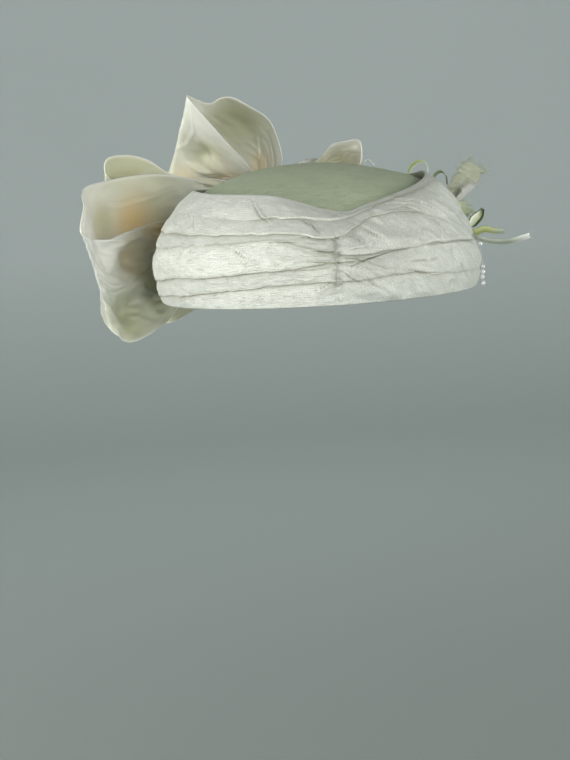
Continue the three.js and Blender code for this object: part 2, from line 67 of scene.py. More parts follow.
def set_camera():
    """A camera whose matrix is built from its place, its aim and its tilt."""
    back = (CAMERA_PLACE - CAMERA_AIM).normalized()
    level = Vector((0, 0, 1)).cross(back).normalized()
    rise = back.cross(level)
    across = math.cos(CAMERA_ROLL) * level + math.sin(CAMERA_ROLL) * rise
    up = math.cos(CAMERA_ROLL) * rise - math.sin(CAMERA_ROLL) * level
    lens = bpy.data.cameras.new("camera")
    lens.lens = CAMERA_LENS
    camera = bpy.data.objects.new("camera", lens)
    camera.matrix_world = Matrix.Translation(CAMERA_PLACE) @ Matrix((across, up, back)).transposed().to_4x4()
    bpy.context.scene.collection.objects.link(camera)
    bpy.context.scene.camera = camera
    return camera


print("camera:", set_camera().name, CAMERA_LENS, "mm")

# %% [markdown]
# ## Shader maths as Python
#
# A silk's colour is a sum of many small things: slubs, weave, mottling. Wired by hand that is a maze
# of Math nodes, so one small class wraps a socket and lets an expression such as `1 - mask * 0.3`
# add the nodes. Colours and vectors must not go through Math nodes, which keep a single number, so
# they have methods of their own for Mix and Vector Math. `mask` reads a number that a piece carries
# at each of its points. Every other node comes from `add`.

# %% A socket that can be used in sums
class Wire:
    """A socket in a material. +, -, * and / on values add Math nodes."""

    def __init__(self, tree, socket=None):
        self.tree = tree
        self.socket = socket

    def add(self, kind, sockets=None, output=0, stops=None, **settings):
        """A node of this kind: settings first, then a value or a Wire for each named input."""
        node = self.tree.nodes.new(kind)
        for name, value in settings.items():
            setattr(node, name, value)
        for i, (place, colour) in enumerate(stops or []):
            ramp = node.color_ramp.elements
            stop = ramp[i] if i < len(ramp) else ramp.new(place)
            stop.position, stop.color = place, (*colour, 1)
        for name, value in (sockets or {}).items():
            if isinstance(value, Wire):
                self.tree.links.new(value.socket, node.inputs[name])
            else:
                node.inputs[name].default_value = value
        return Wire(self.tree, node.outputs[output]) if len(node.outputs) else node

    def math(self, operation, *values, clamp=False):
        return self.add("ShaderNodeMath", dict(enumerate(values)), operation=operation, use_clamp=clamp)

    def __add__(self, other):
        return self.math("ADD", self, other)

    def __sub__(self, other):
        return self.math("SUBTRACT", self, other)

    def __rsub__(self, other):
        return self.math("SUBTRACT", other, self)

    def __mul__(self, other):
        return self.math("MULTIPLY", self, other)

    def __truediv__(self, other):
        return self.math("DIVIDE", self, other)

    __radd__ = __add__
    __rmul__ = __mul__

    def clamp(self):
        return self.math("ADD", self, 0.0, clamp=True)

    def mask(self, name):
        """The number of this name that the piece carries at each point, or 0."""
        return self.add("ShaderNodeAttribute", output=2, attribute_name=name)

    def scaled(self, x, y, z=1.0):
        """A vector times (x, y, z)."""
        return self.add("ShaderNodeVectorMath", {0: self, 1: (x, y, z)}, operation="MULTIPLY")

    def between(self, low, high):
        """Two colours, mixed by this mask."""
        sockets = {"Factor": self}
        for name, value in ((6, low), (7, high)):
            sockets[name] = value if isinstance(value, Wire) else (*value, 1)
        return self.add("ShaderNodeMix", sockets, output=2, data_type="RGBA")


def new_material(name):
    """An empty material and a Wire that adds nodes to it."""
    material = bpy.data.materials.new(name)
    material.use_nodes = True
    material.node_tree.nodes.clear()
    return material, Wire(material.node_tree)


def finish_material(shader, base, roughness, height=None, relief=0.0, **constants):
    """Ends a material: its surface, a bump from `height` that is `relief` metres deep, its output."""
    sockets = {"Base Color": base, "Roughness": roughness}
    sockets.update({name.replace("_", " "): value for name, value in constants.items()})
    if height is not None:
        bump = {"Height": height, "Distance": relief, "Strength": 1.0}
        sockets["Normal"] = shader.add("ShaderNodeBump", bump)
    surface = shader.add("ShaderNodeBsdfPrincipled", sockets)
    shader.add("ShaderNodeOutputMaterial", {"Surface": surface})


print("shader maths ready")

# %% [markdown]
# ## Silk
#
# Dupioni silk is woven from uneven threads: thin streaks, the slubs, run one way across it, and the
# cloth catches light in short patches. Each cloth piece carries a map called `cloth` whose units are
# millimetres along and across the thread, so one recipe gives the same thread size on every piece,
# and a piece cut on the bias only turns its map. Slubs and threads are noise stretched along the
# thread. They change the colour a little, the roughness a little, and drive a bump of a tenth or two
# of a millimetre. The short patches are a mottle that changes the roughness and also lightens and
# darkens the colour: partly real gloss, partly painted sheen. Fine creases from noise are pressed
# into the bump, and painted shade darkens the colour along them. A piece can carry two masks: `fold`
# is painted shade along the bottom of its folds, and `coarse` roughens its grain and deepens the
# painted shade in the fine creases. Lustre is a little Metallic, because silk shines in its own
# colour, and the sheen is a plain number on the shader.

# %% Silk
SILK_RELIEF = 0.00034
FOLD_SHADE_COLOUR = (0.34, 0.33, 0.24)


def stretched_noise(shader, cloth, along, across, detail=2.0, roughness=0.5):
    """Noise whose grain is `along` by `across` millimetres on the cloth."""
    place = cloth.scaled(1 / along, 1 / across)
    return shader.add("ShaderNodeTexNoise", {
        "Vector": place, "Scale": 1.0, "Detail": detail, "Roughness": roughness})


def silk(name, light, deep, slub=1.0, roughness=0.42, lustre=0.45):
    """Slubbed silk between two colours; `slub` scales how uneven its threads are."""
    material, shader = new_material(name)
    cloth = shader.add("ShaderNodeUVMap", uv_map="cloth")
    streak = stretched_noise(shader, cloth, 9.0, 0.42, 3.0, 0.6)
    thread = stretched_noise(shader, cloth, 2.2, 0.25, 2.0, 0.6)
    weft = stretched_noise(shader, cloth, 0.3, 1.6, 1.0)
    mottle = stretched_noise(shader, cloth, 9.0, 5.0, 4.0, 0.6)
    grain = stretched_noise(shader, cloth, 0.7, 0.45, 2.0, 0.7)
    bends = stretched_noise(shader, cloth, 15.0, 8.0, 1.5, 0.4)
    crease = shader.math("POWER", 1 - shader.math("ABSOLUTE", (bends - 0.5) * 2), 9.0)
    thick = ((streak - 0.56) * 7.0).clamp()
    coarse = shader.mask("coarse")
    # tone: slubs and threads are the cloth's own; mottle is partly painted sheen, crease painted shade
    tone = 0.5 + (streak - 0.5) * (0.9 * slub) + (thread - 0.5) * slub + (mottle - 0.5) * 1.4
    tone = tone + (grain - 0.5) * (3.0 * slub + coarse * 4.0) - crease * (0.12 * slub + coarse * 0.3)
    height = streak * slub + thick * (0.6 * slub) + thread + weft * 0.5 - crease * (0.5 * slub)
    height = height + grain * (1.2 + coarse * 0.5)
    gloss = (roughness - 0.2 + (mottle * 0.34 + grain * 0.12) * slub).clamp()
    # The fold mask mixes in a dark olive: painted shade along the bottom of the folds
    base = (shader.mask("fold") * 0.85).between(tone.clamp().between(deep, light), FOLD_SHADE_COLOUR)
    finish_material(
        shader, base, gloss, height, SILK_RELIEF,
        Metallic=lustre, Sheen_Weight=0.2, Sheen_Roughness=0.4, Sheen_Tint=(1, 1, 0.96, 1))
    return material


DRAPE_SILK = silk("drape_silk", (0.96, 0.97, 0.91), (0.73, 0.75, 0.67), roughness=0.48, lustre=0.22)
# The crown's silk is the band's recipe painted greener and darker: painted shade for the tip.
CROWN_SHADED_SILK = silk("crown_silk", (0.60, 0.68, 0.47), (0.46, 0.53, 0.34), slub=1.2, roughness=0.6, lustre=0.05)
print("silks:", DRAPE_SILK.name, CROWN_SHADED_SILK.name)

# %% [markdown]
# ## Satin
#
# The ribbon of the bow is smooth and so thin that light comes through it. It could be thin cloth with
# a Translucent shader, but the bow's loops have a real thickness, so a weak Subsurface does the same.
# Deep in the bow the cloth sees only other cloth: it lies in greenish shade there, and in places
# light that comes through the cloth warms it. The lights here give little of that, so two masks on
# the ribbons paint it into the colour: `shade` is painted shade and `glow` is painted light. The
# price is that the painted shade and light stay where they are when the lights are moved.

# %% Satin
SATIN_RELIEF = 0.0001
LOOP_SHADE = (0.48, 0.49, 0.33)
LOOP_GLOW = (0.92, 0.62, 0.30)


def satin(name, light, deep, roughness=0.42):
    """Smooth ribbon between two colours, with painted shade and painted light deep in a loop."""
    material, shader = new_material(name)
    cloth = shader.add("ShaderNodeUVMap", uv_map="cloth")
    thread = stretched_noise(shader, cloth, 12.0, 0.35, 2.0, 0.6)
    weft = stretched_noise(shader, cloth, 0.35, 5.0, 2.0, 0.6)
    mottle = stretched_noise(shader, cloth, 11.0, 7.0, 2.0)
    tone = (0.5 + (thread - 0.5) * 0.8 + (weft - 0.5) * 0.6 + (mottle - 0.5)).clamp()
    # The shade mask mixes in painted shade and the glow mask painted warm light.
    shaded = shader.mask("shade").between(tone.between(deep, light), LOOP_SHADE)
    base = shader.mask("glow").between(shaded, LOOP_GLOW)
    gloss = roughness - 0.06 + mottle * 0.12
    finish_material(
        shader, base, gloss, thread * 0.7 + weft * 0.9, SATIN_RELIEF,
        Metallic=0.14, Sheen_Weight=0.25, Sheen_Roughness=0.4, Subsurface_Weight=0.3, Subsurface_Scale=0.003,
        Subsurface_Radius=(1.0, 0.88, 0.62))
    return material


RIBBON_SATIN = satin("ribbon_satin", (0.93, 0.92, 0.85), (0.83, 0.82, 0.73))
print("satin:", RIBBON_SATIN.name)

# %% [markdown]
# ## The spray's materials
#
# The petals use the drape's silk recipe in duller colours. Ribbon grass is woven in stripes. They
# could be cut into the mesh as bands, but a ramp over the mask `across`, which runs from 0 at one
# edge to 1 at the other, draws them on a blade of any shape, and the mask `end` brings in the colour
# of its tip. The crystals and their line are clear, but cloudy enough to show up against pale silk,
# so only a quarter of their light goes through, and a coat gives them their glitter.

# %% Petal silk, ribbon grass and glass
GRASS_RELIEF = 0.00006
TICK_COLOUR = (0.30, 0.34, 0.20)


def ribbon_grass(name, stops, tip):
    """A narrow striped ribbon: `stops` are colours from edge to edge, `tip` the colour at its end."""
    material, shader = new_material(name)
    cloth = shader.add("ShaderNodeUVMap", uv_map="cloth")
    ticks = stretched_noise(shader, cloth, 0.5, 4.0, 1.0)
    stripe = shader.add("ShaderNodeValToRGB", {"Fac": shader.mask("across")}, stops=stops)
    tick = ((ticks - 0.45) * 1.6).clamp() * 0.3
    base = shader.mask("end").between(tick.between(stripe, TICK_COLOUR), tip)
    finish_material(shader, base, 0.34 + ticks * 0.1, ticks, GRASS_RELIEF, Metallic=0.15)
    return material


def clear_glass(name, tint, roughness):
    """Cut glass or clear line, with a faint cloudiness that varies a little."""
    material, shader = new_material(name)
    place = shader.add("ShaderNodeTexCoord", output=3)
    cloud = shader.add("ShaderNodeTexNoise", {"Vector": place, "Scale": 700.0, "Detail": 1.0})
    finish_material(
        shader, cloud.between(tint, (1, 1, 1)), roughness + cloud * 0.04,
        Transmission_Weight=0.25, IOR=1.6, Coat_Weight=1.0, Coat_Roughness=0.02)
    return material


PETAL_SILK = silk("petal_silk", (0.66, 0.68, 0.54), (0.46, 0.48, 0.34), slub=1.1, roughness=0.42, lustre=0.2)
PALE_SILK = silk(
    "pale_petal_silk", (0.80, 0.80, 0.76), (0.62, 0.62, 0.55), slub=0.8, roughness=0.4, lustre=0.25)
TUFT_SILK = silk(
    "tuft_petal_silk", (0.62, 0.68, 0.48), (0.44, 0.50, 0.30), slub=0.8, roughness=0.45, lustre=0.2)
CREAM = (0.72, 0.74, 0.56)
OLIVE = (0.06, 0.10, 0.03)
MOSS = (0.20, 0.28, 0.08)
SAGE = (0.26, 0.30, 0.17)
LIME = (0.42, 0.50, 0.12)
STRAW = (0.31, 0.36, 0.12)
WHITE = (0.86, 0.89, 0.82)
HAZE = (0.40, 0.44, 0.36)
GRASS = {
    "leaf": ribbon_grass(
        "leaf_ribbon",
        [(0, OLIVE), (0.04, OLIVE), (0.1, CREAM), (0.7, CREAM), (0.78, MOSS), (0.9, OLIVE)], OLIVE),
    "yellow": ribbon_grass(
        "yellow_ribbon", [(0, STRAW), (0.5, (0.43, 0.47, 0.21)), (1, STRAW)], HAZE),
    "white": ribbon_grass(
        "white_ribbon", [(0, HAZE), (0.7, (0.30, 0.34, 0.28)), (1, HAZE)], (0.90, 0.92, 0.87)),
    "striped": ribbon_grass(
        "striped_ribbon", [(0, WHITE), (0.45, WHITE), (0.58, LIME), (1, LIME)], WHITE),
    "olive": ribbon_grass(
        "olive_ribbon", [(0, (0.36, 0.40, 0.25)), (1, SAGE)], SAGE)}
CRYSTAL = clear_glass("crystal_glass", (0.95, 0.97, 0.98), 0.02)
LINE = clear_glass("clear_line", (0.80, 0.84, 0.82), 0.12)
print("spray:", PETAL_SILK.name, PALE_SILK.name, TUFT_SILK.name, "and grass in", ", ".join(GRASS))

# %% [markdown]
# ## Meshes from grids
#
# Cloth is a grid of rows and lanes, so most pieces here are grids of points worked out with numpy and
# turned into a mesh in one step. That gives more control than pushing a subdivided plane about, and
# every fold can sit exactly where its table says. All shapes are worked out in millimetres.

# %% Helpers for meshes
MM = 0.001


def make_piece(name, points, faces, material, slot, cloth, **masks):
    """A smooth mesh from points in mm. `cloth` is its map, one pair to a point or to a face corner."""
    mesh = bpy.data.meshes.new(name)
    mesh.from_pydata((np.asarray(points) * MM).tolist(), [], np.asarray(faces).tolist())
    mesh.polygons.foreach_set("use_smooth", [True] * len(mesh.polygons))
    if len(cloth) == len(points):
        corner = np.zeros(len(mesh.loops), np.int64)
        mesh.loops.foreach_get("vertex_index", corner)
        cloth = cloth[corner]
    layer = mesh.uv_layers.new(name="cloth")
    layer.uv.foreach_set("vector", np.asarray(cloth, np.float32).ravel())
    for mask, values in masks.items():
        layer = mesh.attributes.new(mask, "FLOAT", "POINT")
        layer.data.foreach_set("value", np.asarray(values, np.float32))
    mesh.materials.append(material)
    piece = bpy.data.objects.new(name, mesh)
    bpy.context.scene.collection.objects.link(piece)
    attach(piece, "root")
    return piece


def grid_faces(rows, lanes, start=0, wrap=False):
    """Quads of a grid whose points are numbered row by row; `wrap` joins the last lane to the first."""
    r = np.arange(rows - 1)[:, None]
    c = np.arange(lanes if wrap else lanes - 1)[None, :]
    d = (c + 1) % lanes
    corners = (r * lanes + c, r * lanes + d, (r + 1) * lanes + d, (r + 1) * lanes + c)
    return np.stack(np.broadcast_arrays(*corners), -1).reshape(-1, 4) + start


def last_to_first(rows, lanes):
    """Quads that join the last ring of a wrapped grid to its first one."""
    join = grid_faces(2, lanes, wrap=True)
    return np.where(join >= lanes, join - lanes, join + (rows - 1) * lanes)


def fan(start, lanes, hub, flip=False):
    """Triangles from a ring, whose points are numbered from `start`, to the point `hub`."""
    here = np.arange(lanes)
    ahead = (here + 1) % lanes
    pair = [start + ahead, start + here] if flip else [start + here, start + ahead]
    return np.stack([*pair, np.full(lanes, hub)], -1)


print("3 rows of 4 points:", len(grid_faces(3, 4)), "quads, wrapped", len(grid_faces(3, 4, wrap=True)))

# %% [markdown]
# Folds need curves and noise. A table of a few values is joined by smooth curves, a lattice of random
# numbers gives soft ripples of any size, and one fine fold is a groove along a path with a raised
# edge beside it, as a finger pushes it into stiff cloth. All three work on whole arrays at once.

# %% Curves, ripples and folds
def bell(x, middle, half_width):
    """1 at the middle, falling off smoothly on both sides."""
    return np.exp(-(((x - middle) / half_width) ** 2))


def dome(share, power):
    """A hump over shares from 0 to 1, flatter on top the smaller its power is."""
    return np.sin(np.pi * np.clip(share, 0.02, 0.98)) ** power


def smooth(table, x):
    """Value of a table of (x, value) rows, joined by smooth curves."""
    xs, ys = np.asarray(table, float).T
    x = np.asarray(x, float)
    slope = np.gradient(ys)
    slope[1:-1] = (ys[2:] - ys[:-2]) / (xs[2:] - xs[:-2])
    slope[0] = (ys[1] - ys[0]) / (xs[1] - xs[0])
    slope[-1] = (ys[-1] - ys[-2]) / (xs[-1] - xs[-2])
    i = np.searchsorted(xs[1:-1], x)
    h = xs[i + 1] - xs[i]
    u = np.clip((x - xs[i]) / h, 0, 1)
    return (
        (2 * u**3 - 3 * u**2 + 1) * ys[i] + (u**3 - 2 * u**2 + u) * h * slope[i]
        + (3 * u**2 - 2 * u**3) * ys[i + 1] + (u**3 - u**2) * h * slope[i + 1])


def ripples(x, y, cell_x, cell_y, seed):
    """A smooth random height from -1 to 1 whose waves are about cell_x by cell_y across."""
    size = 97
    lattice = np.random.default_rng(seed).uniform(-1, 1, (size, size))
    u, v = np.asarray(x) / cell_x + 1000, np.asarray(y) / cell_y + 1000
    i, j = np.floor(u).astype(int), np.floor(v).astype(int)
    s, t = u - i, v - j
    s, t = s * s * (3 - 2 * s), t * t * (3 - 2 * t)

    def at(a, b):
        return lattice[a % size, b % size]

    return (
        (at(i, j) * (1 - s) + at(i + 1, j) * s) * (1 - t)
        + (at(i, j + 1) * (1 - s) + at(i + 1, j + 1) * s) * t)


def creased(x, y, path, width, ridge):
    """Height of one fine fold along a path: a groove of depth 1 with a raised edge on its left side."""
    best = np.full(np.shape(x), 1e9)
    side = np.zeros(np.shape(x))
    share = np.zeros(np.shape(x))
    path = np.asarray(path, float)
    lengths = np.hypot(*np.diff(path, axis=0).T)
    run = np.concatenate([[0], np.cumsum(lengths)]) / lengths.sum()
    for (ax, ay), (bx, by), r0, r1, length in zip(path[:-1], path[1:], run[:-1], run[1:], lengths):
        tx, ty = (bx - ax) / length, (by - ay) / length
        along = np.clip((x - ax) * tx + (y - ay) * ty, 0, length)
        dx, dy = x - ax - along * tx, y - ay - along * ty
        distance = np.hypot(dx, dy)
        near = distance < best
        best = np.where(near, distance, best)
        side = np.where(near, np.sign(tx * dy - ty * dx), side)
        share = np.where(near, r0 + (r1 - r0) * along / length, share)
    signed = best * side
    fade = np.clip(np.sin(np.pi * share), 0, 1) ** 0.5
    return fade * (ridge * bell(signed, 1.2 * width, 0.95 * width) - bell(signed, 0, 0.5 * width))


print("a ripple at three places:", np.round(ripples([0, 5, 10], [0, 0, 0], 10, 10, 1), 2))

# %% [markdown]
# ## The surface of the cap
#
# Every piece that touches the cap follows the same surface. A place on it is an angle round the cap,
# 0 at the front and +90 over the wearer's left ear, on +X, and a height share, 0 at the rim and 1 at
# the lip. Three tables carry the whole form: how far the wall reaches out at each height share, how
# the lip rises and dips round the cap, and how the wall is pressed in over one ear. These are the
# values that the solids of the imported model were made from, so the fine cloth lies where they are.

# %% The cap's surface
HALF_WIDTH = 89.0
HALF_DEPTH = 103.5
LIP_HEIGHT = 61.0
LIP_REACH = 0.735
TIP_SLOPE = math.tan(math.radians(6.5))
TIP_DROP = 3.5
TIP_DOME = 12.5
DRAPE_WALL = 3.0
CROWN_WALL = 2.0
GAP = 0.3

SIDE_PROFILE = [
    (0.00, 0.961), (0.13, 0.981), (0.28, 0.998), (0.41, 1.000), (0.54, 0.980),
    (0.69, 0.933), (0.80, 0.881), (0.885, 0.833), (0.96, 0.775), (1.00, LIP_REACH)]
LIP_SWELL = [
    (-180, -6), (-130, -6), (-105, -3), (-85, -0.3), (-62, 1.2), (-44, 2.4), (-32, 2.6), (-24, 1.7),
    (-16, -0.7), (-6, -4.4), (2, -6.4), (7, -6.4), (13, -4.5), (20, -2.9), (28, -1.2), (40, 0.5),
    (54, 2), (72, 3.1), (90, 2.2), (108, -2), (135, -6), (180, -6)]
PRESS_ANGLE, PRESS_WIDTH = 88, 42
PRESS_DEPTH = [(0, 0), (0.15, 0.4), (0.3, 2.6), (0.45, 5.2), (0.6, 5.8), (0.8, 4.8), (1, 4)]


def wrap_angle(angle):
    """The same angle between -180 and 180 degrees."""
    return (np.asarray(angle, float) + 540) % 360 - 180


def lip_height(angle):
    """Height of the lip: it slopes down toward the front, and its swells and dips are added."""
    y = -LIP_REACH * HALF_DEPTH * np.cos(np.radians(angle))
    return LIP_HEIGHT + y * TIP_SLOPE + smooth(LIP_SWELL, wrap_angle(angle))


def side_press(angle, height):
    """How far the wall over the ear on +X is pressed inward."""
    return smooth(PRESS_DEPTH, height) * bell(wrap_angle(angle), PRESS_ANGLE, PRESS_WIDTH)


def on_cap(angle, height, out=0.0):
    """Points near the side wall; `out` is the level distance outside it."""
    angle, height, out = np.broadcast_arrays(angle, height, out)
    out = out - side_press(angle, height)
    reach = smooth(SIDE_PROFILE, height)
    turn = np.radians(angle)
    return np.stack([
        (HALF_WIDTH * reach + out) * np.sin(turn),
        -(HALF_DEPTH * reach + out) * np.cos(turn),
        height * lip_height(angle)], -1)


print("lip height at front, sides and back:", np.round(lip_height([0, 90, -90, 180]), 1))

# %% [markdown]
# ## The draped side band
#
# On the real hat a strip of silk is laid in folds round the stiff cap, each fold hanging over the one
# below, and caught with stitches at the centre front. A cloth simulation would lay folds of its own
# choosing, so the folds are drawn instead. The grid's rows follow the five pleats, so that each
# crease is a row of the mesh and stays crisp. From a crease upward the cloth first bulges out and
# down, as a folded edge does, and then lies flat until it slips under the next fold.

# %% The pleats
PLEAT_ANGLES = [-180, -100, -62, -34, -18, -3, 8, 20, 32, 40, 62, 95, 180]
PLEATS = [
    # height share and depth in mm at each of those angles
    ([0.13, 0.08, 0.125, 0.195, 0.24, 0.27, 0.275, 0.28, 0.225, 0.2, 0.17, 0.15, 0.13],
     [0.5, 0.6, 0.8, 1, 1.2, 1.5, 1.3, 1, 0.6, 0.4, 0.3, 0.4, 0.5]),
    ([0.33, 0.215, 0.28, 0.32, 0.375, 0.475, 0.485, 0.505, 0.49, 0.47, 0.41, 0.4, 0.33],
     [0.3, 0.5, 0.8, 1, 1.2, 1.6, 0.3, 0, 0, 0, 0.1, 0.2, 0.3]),
    ([0.53, 0.52, 0.55, 0.605, 0.615, 0.555, 0.548, 0.525, 0.53, 0.515, 0.462, 0.455, 0.53],
     [0.6, 0.4, 0.35, 0.4, 0.6, 1.3, 1.9, 2.2, 2.3, 2.3, 2.2, 1.6, 0.6]),
    ([0.7, 0.67, 0.665, 0.672, 0.705, 0.725, 0.865, 0.885, 0.82, 0.72, 0.66, 0.66, 0.7],
     [0.8, 0.4, 1.2, 1.8, 1.8, 1.6, 1.5, 1.2, 0.5, 0.1, 0.1, 0.3, 0.8]),
    ([0.84, 0.84, 0.82, 0.79, 0.85, 0.905, 0.965, 0.975, 0.97, 0.965, 0.96, 0.92, 0.84],
     [0.1, 0.1, 0.1, 0.5, 1.6, 1.9, 1.2, 0.8, 0.6, 0.5, 0.4, 0.2, 0.1])]
PLEAT_PUFF = 0.5
TUCK_ANGLE = -2.7


def along_pleat(values, angle):
    """A pleat's height share or depth at any angle."""
    return smooth(list(zip(PLEAT_ANGLES, values)), angle)


print(len(PLEATS), "pleats, each given at", len(PLEAT_ANGLES), "angles")

# %% [markdown]
# Between the pleats the silk is never flat: short diagonal wrinkles run off the tuck, a fan of them
# spreads where the top folds pull together at the right, and two darts turn down from the lip at the
# left. Each is a path of (angle, height share) points. Its width is in millimetres, and its depth is
# a share of WRINKLE_DEPTH. The third number raises the cloth beside the groove, so that the fold
# catches the light. Wrinkles near the tuck are deeper, because that is where the cloth is pulled.

# %% The finer wrinkles
WRINKLES = [
    # depth, width, raised edge, path
    (0.75, 0.9, 0.7, [(-77, 0.99), (-71, 0.915), (-68, 0.845), (-64, 0.79)]),
    (0.60, 0.8, 0.6, [(-64, 0.84), (-60, 0.76), (-57, 0.69)]),
    (0.80, 0.9, 0.8, [(-36, 0.97), (-34, 0.92), (-30, 0.825), (-25, 0.76)]),
    (0.45, 0.8, 0.6, [(-34, 0.92), (-28, 0.81), (-26, 0.78)]),
    (0.70, 1.0, 0.9, [(-31, 0.58), (-25, 0.60), (-20, 0.615), (-14, 0.63)]),
    (0.50, 1.0, 0.8, [(-39, 0.56), (-35, 0.50), (-31, 0.43)]),
    (0.35, 0.9, 0.7, [(-36, 0.46), (-32, 0.39)]),
    (0.40, 0.8, 0.6, [(-41, 0.32), (-39, 0.23)]),
    (0.45, 1.0, 0.8, [(-92, 0.47), (-80, 0.42), (-74, 0.33)]),
    (0.45, 1.0, 0.8, [(-84, 0.55), (-77, 0.53), (-67, 0.50)]),
    (0.35, 1.0, 0.7, [(-92, 0.20), (-84, 0.34), (-80, 0.48)]),
    (0.70, 0.8, 0.8, [(-15, 0.85), (-10, 0.79), (-7, 0.74)]),
    (0.50, 0.7, 0.6, [(-12, 0.84), (-9, 0.79), (-7, 0.765)]),
    (0.60, 0.9, 0.9, [(-12, 0.64), (-7, 0.64), (-3, 0.655)]),
    (0.55, 0.9, 0.8, [(-13, 0.56), (-7, 0.567), (-2, 0.565)]),
    (0.55, 0.9, 0.8, [(-14, 0.50), (-8, 0.52), (-3, 0.53)]),
    (0.70, 1.0, 1.0, [(-17, 0.36), (-10, 0.38), (-4, 0.42)]),
    (0.45, 0.8, 1.0, [(-16, 0.45), (-9, 0.455), (-3, 0.47)]),
    (0.40, 0.8, 1.0, [(-18, 0.66), (-10, 0.70), (-4, 0.69)]),
    (0.45, 0.8, 1.0, [(-11, 0.31), (-6, 0.33), (-3, 0.35)]),
    (0.50, 0.8, 1.0, [(-2, 0.60), (4, 0.605), (10, 0.62)]),
    (0.45, 0.8, 1.0, [(-2, 0.52), (3, 0.50), (9, 0.44)]),
    (0.45, 0.8, 1.0, [(-2, 0.45), (3, 0.42), (8, 0.36)]),
    (0.40, 0.9, 0.9, [(-2, 0.33), (3, 0.27), (7, 0.19)]),
    (0.40, 0.9, 0.9, [(-4, 0.27), (-8, 0.20), (-12, 0.15)]),
    (0.80, 1.0, 1.1, [(-1, 0.40), (2, 0.435), (6, 0.485), (11, 0.50), (17, 0.515)]),
    (0.50, 0.8, 0.9, [(-1, 0.70), (1, 0.745), (3, 0.735), (4, 0.70), (7, 0.66)]),
    (0.55, 0.9, 0.8, [(-1, 0.36), (1, 0.30)]),
    (0.45, 0.9, 0.8, [(6, 0.26), (12, 0.13)]),
    (0.45, 0.9, 0.7, [(17, 0.315), (21, 0.305), (26, 0.25), (34, 0.22)]),
    (0.60, 1.2, 0.6, [(18, 0.40), (26, 0.37), (34, 0.355)]),
    (0.60, 1.3, 0.9, [(5, 0.47), (10, 0.40), (15, 0.32)]),
    (0.50, 1.2, 0.9, [(8, 0.82), (11, 0.73), (15, 0.63)]),
    (0.80, 0.9, 0.8, [(24, 0.99), (30, 0.945), (37, 0.895), (43, 0.79), (46, 0.69)]),
    (0.70, 0.9, 0.8, [(22, 0.955), (27, 0.925), (34, 0.87), (38, 0.75), (40, 0.64)]),
    (0.50, 0.9, 0.6, [(23, 0.90), (29, 0.885), (33, 0.82)]),
    (0.45, 0.9, 0.6, [(36, 0.79), (39, 0.68), (42, 0.57)]),
    (0.30, 1.1, 0.6, [(37, 0.47), (46, 0.28), (54, 0.10)]),
    (0.35, 1.1, 0.6, [(54, 0.40), (60, 0.28), (63, 0.16)]),
    (0.45, 1.0, 0.6, [(62, 0.42), (70, 0.30), (73, 0.12)]),
    (0.35, 1.0, 0.6, [(50, 0.90), (60, 0.78), (64, 0.62)]),
    (0.50, 1.0, 0.7, [(95, 0.86), (110, 0.76), (128, 0.74)]),
    (0.50, 1.1, 0.7, [(100, 0.30), (125, 0.24), (150, 0.27)]),
    (0.45, 1.0, 0.7, [(-170, 0.44), (-150, 0.48), (-128, 0.45)]),
    (0.45, 1.0, 0.7, [(160, 0.62), (178, 0.64), (-166, 0.63)])]
ARC_PER_DEGREE = 1.68
FULL_TURN = 360 * ARC_PER_DEGREE
WALL_HEIGHT = LIP_HEIGHT
WRINKLE_DEPTH = 2.6


def wrinkle_offset(angle, height):
    """How far the finer wrinkles move the cloth out, in mm, and the painted shade in their grooves."""
    x, y = angle * ARC_PER_DEGREE, height * WALL_HEIGHT
    total = np.zeros_like(x)
    groove = np.zeros_like(x)
    for depth, width, ridge, path in WRINKLES:
        if path[-1][0] < -90 < 90 < path[0][0]:
            path = [(a if a > 0 else a + 360, h) for a, h in path]
        line = np.array([(a * ARC_PER_DEGREE, h * WALL_HEIGHT) for a, h in path])
        turned = np.where(x < line[:, 0].min() - 300, x + FULL_TURN, x)
        reach = 4 * width + 2
        near = (
            (turned > line[:, 0].min() - reach) & (turned < line[:, 0].max() + reach)
            & (y > line[:, 1].min() - reach) & (y < line[:, 1].max() + reach))
        depth = depth * (1 + 0.8 * bell(np.mean(line[:, 0]) / ARC_PER_DEGREE, TUCK_ANGLE, 13))
        height_here = creased(turned[near], y[near], line, 0.8 * width, 0.8 * ridge)
        total[near] += WRINKLE_DEPTH * depth * height_here
        # dark is painted shade along the bottom of each groove
        dark = np.clip(-height_here, 0, 1) ** 1.5 * min(2.4 * depth, 1)
        groove[near] = np.maximum(groove[near], dark)
    return total, groove


print(len(WRINKLES), "wrinkles beside", len(PLEATS), "pleats")

# %% [markdown]
# The band is built as rings. The columns are closer together at the front, where the folds are, than
# at the back. Within a pleat the rows crowd toward its lower crease, because the rolled edge there is
# only a millimetre or two high.

# %% Rows and columns of the draped band
def spread_columns():
    """Angles round the cap: about three in four lie in the front half."""
    front = np.linspace(-104, 100, 516, endpoint=False)
    back = np.linspace(100, 256, 92, endpoint=False)
    return np.concatenate([front, back])


ROW_SHARES = np.array([
    0, 0.006, 0.014, 0.024, 0.036, 0.052, 0.07, 0.094, 0.125, 0.165, 0.21, 0.26, 0.32, 0.38,
    0.45, 0.52, 0.59, 0.66, 0.73, 0.79, 0.85, 0.90, 0.94, 0.97, 0.99])


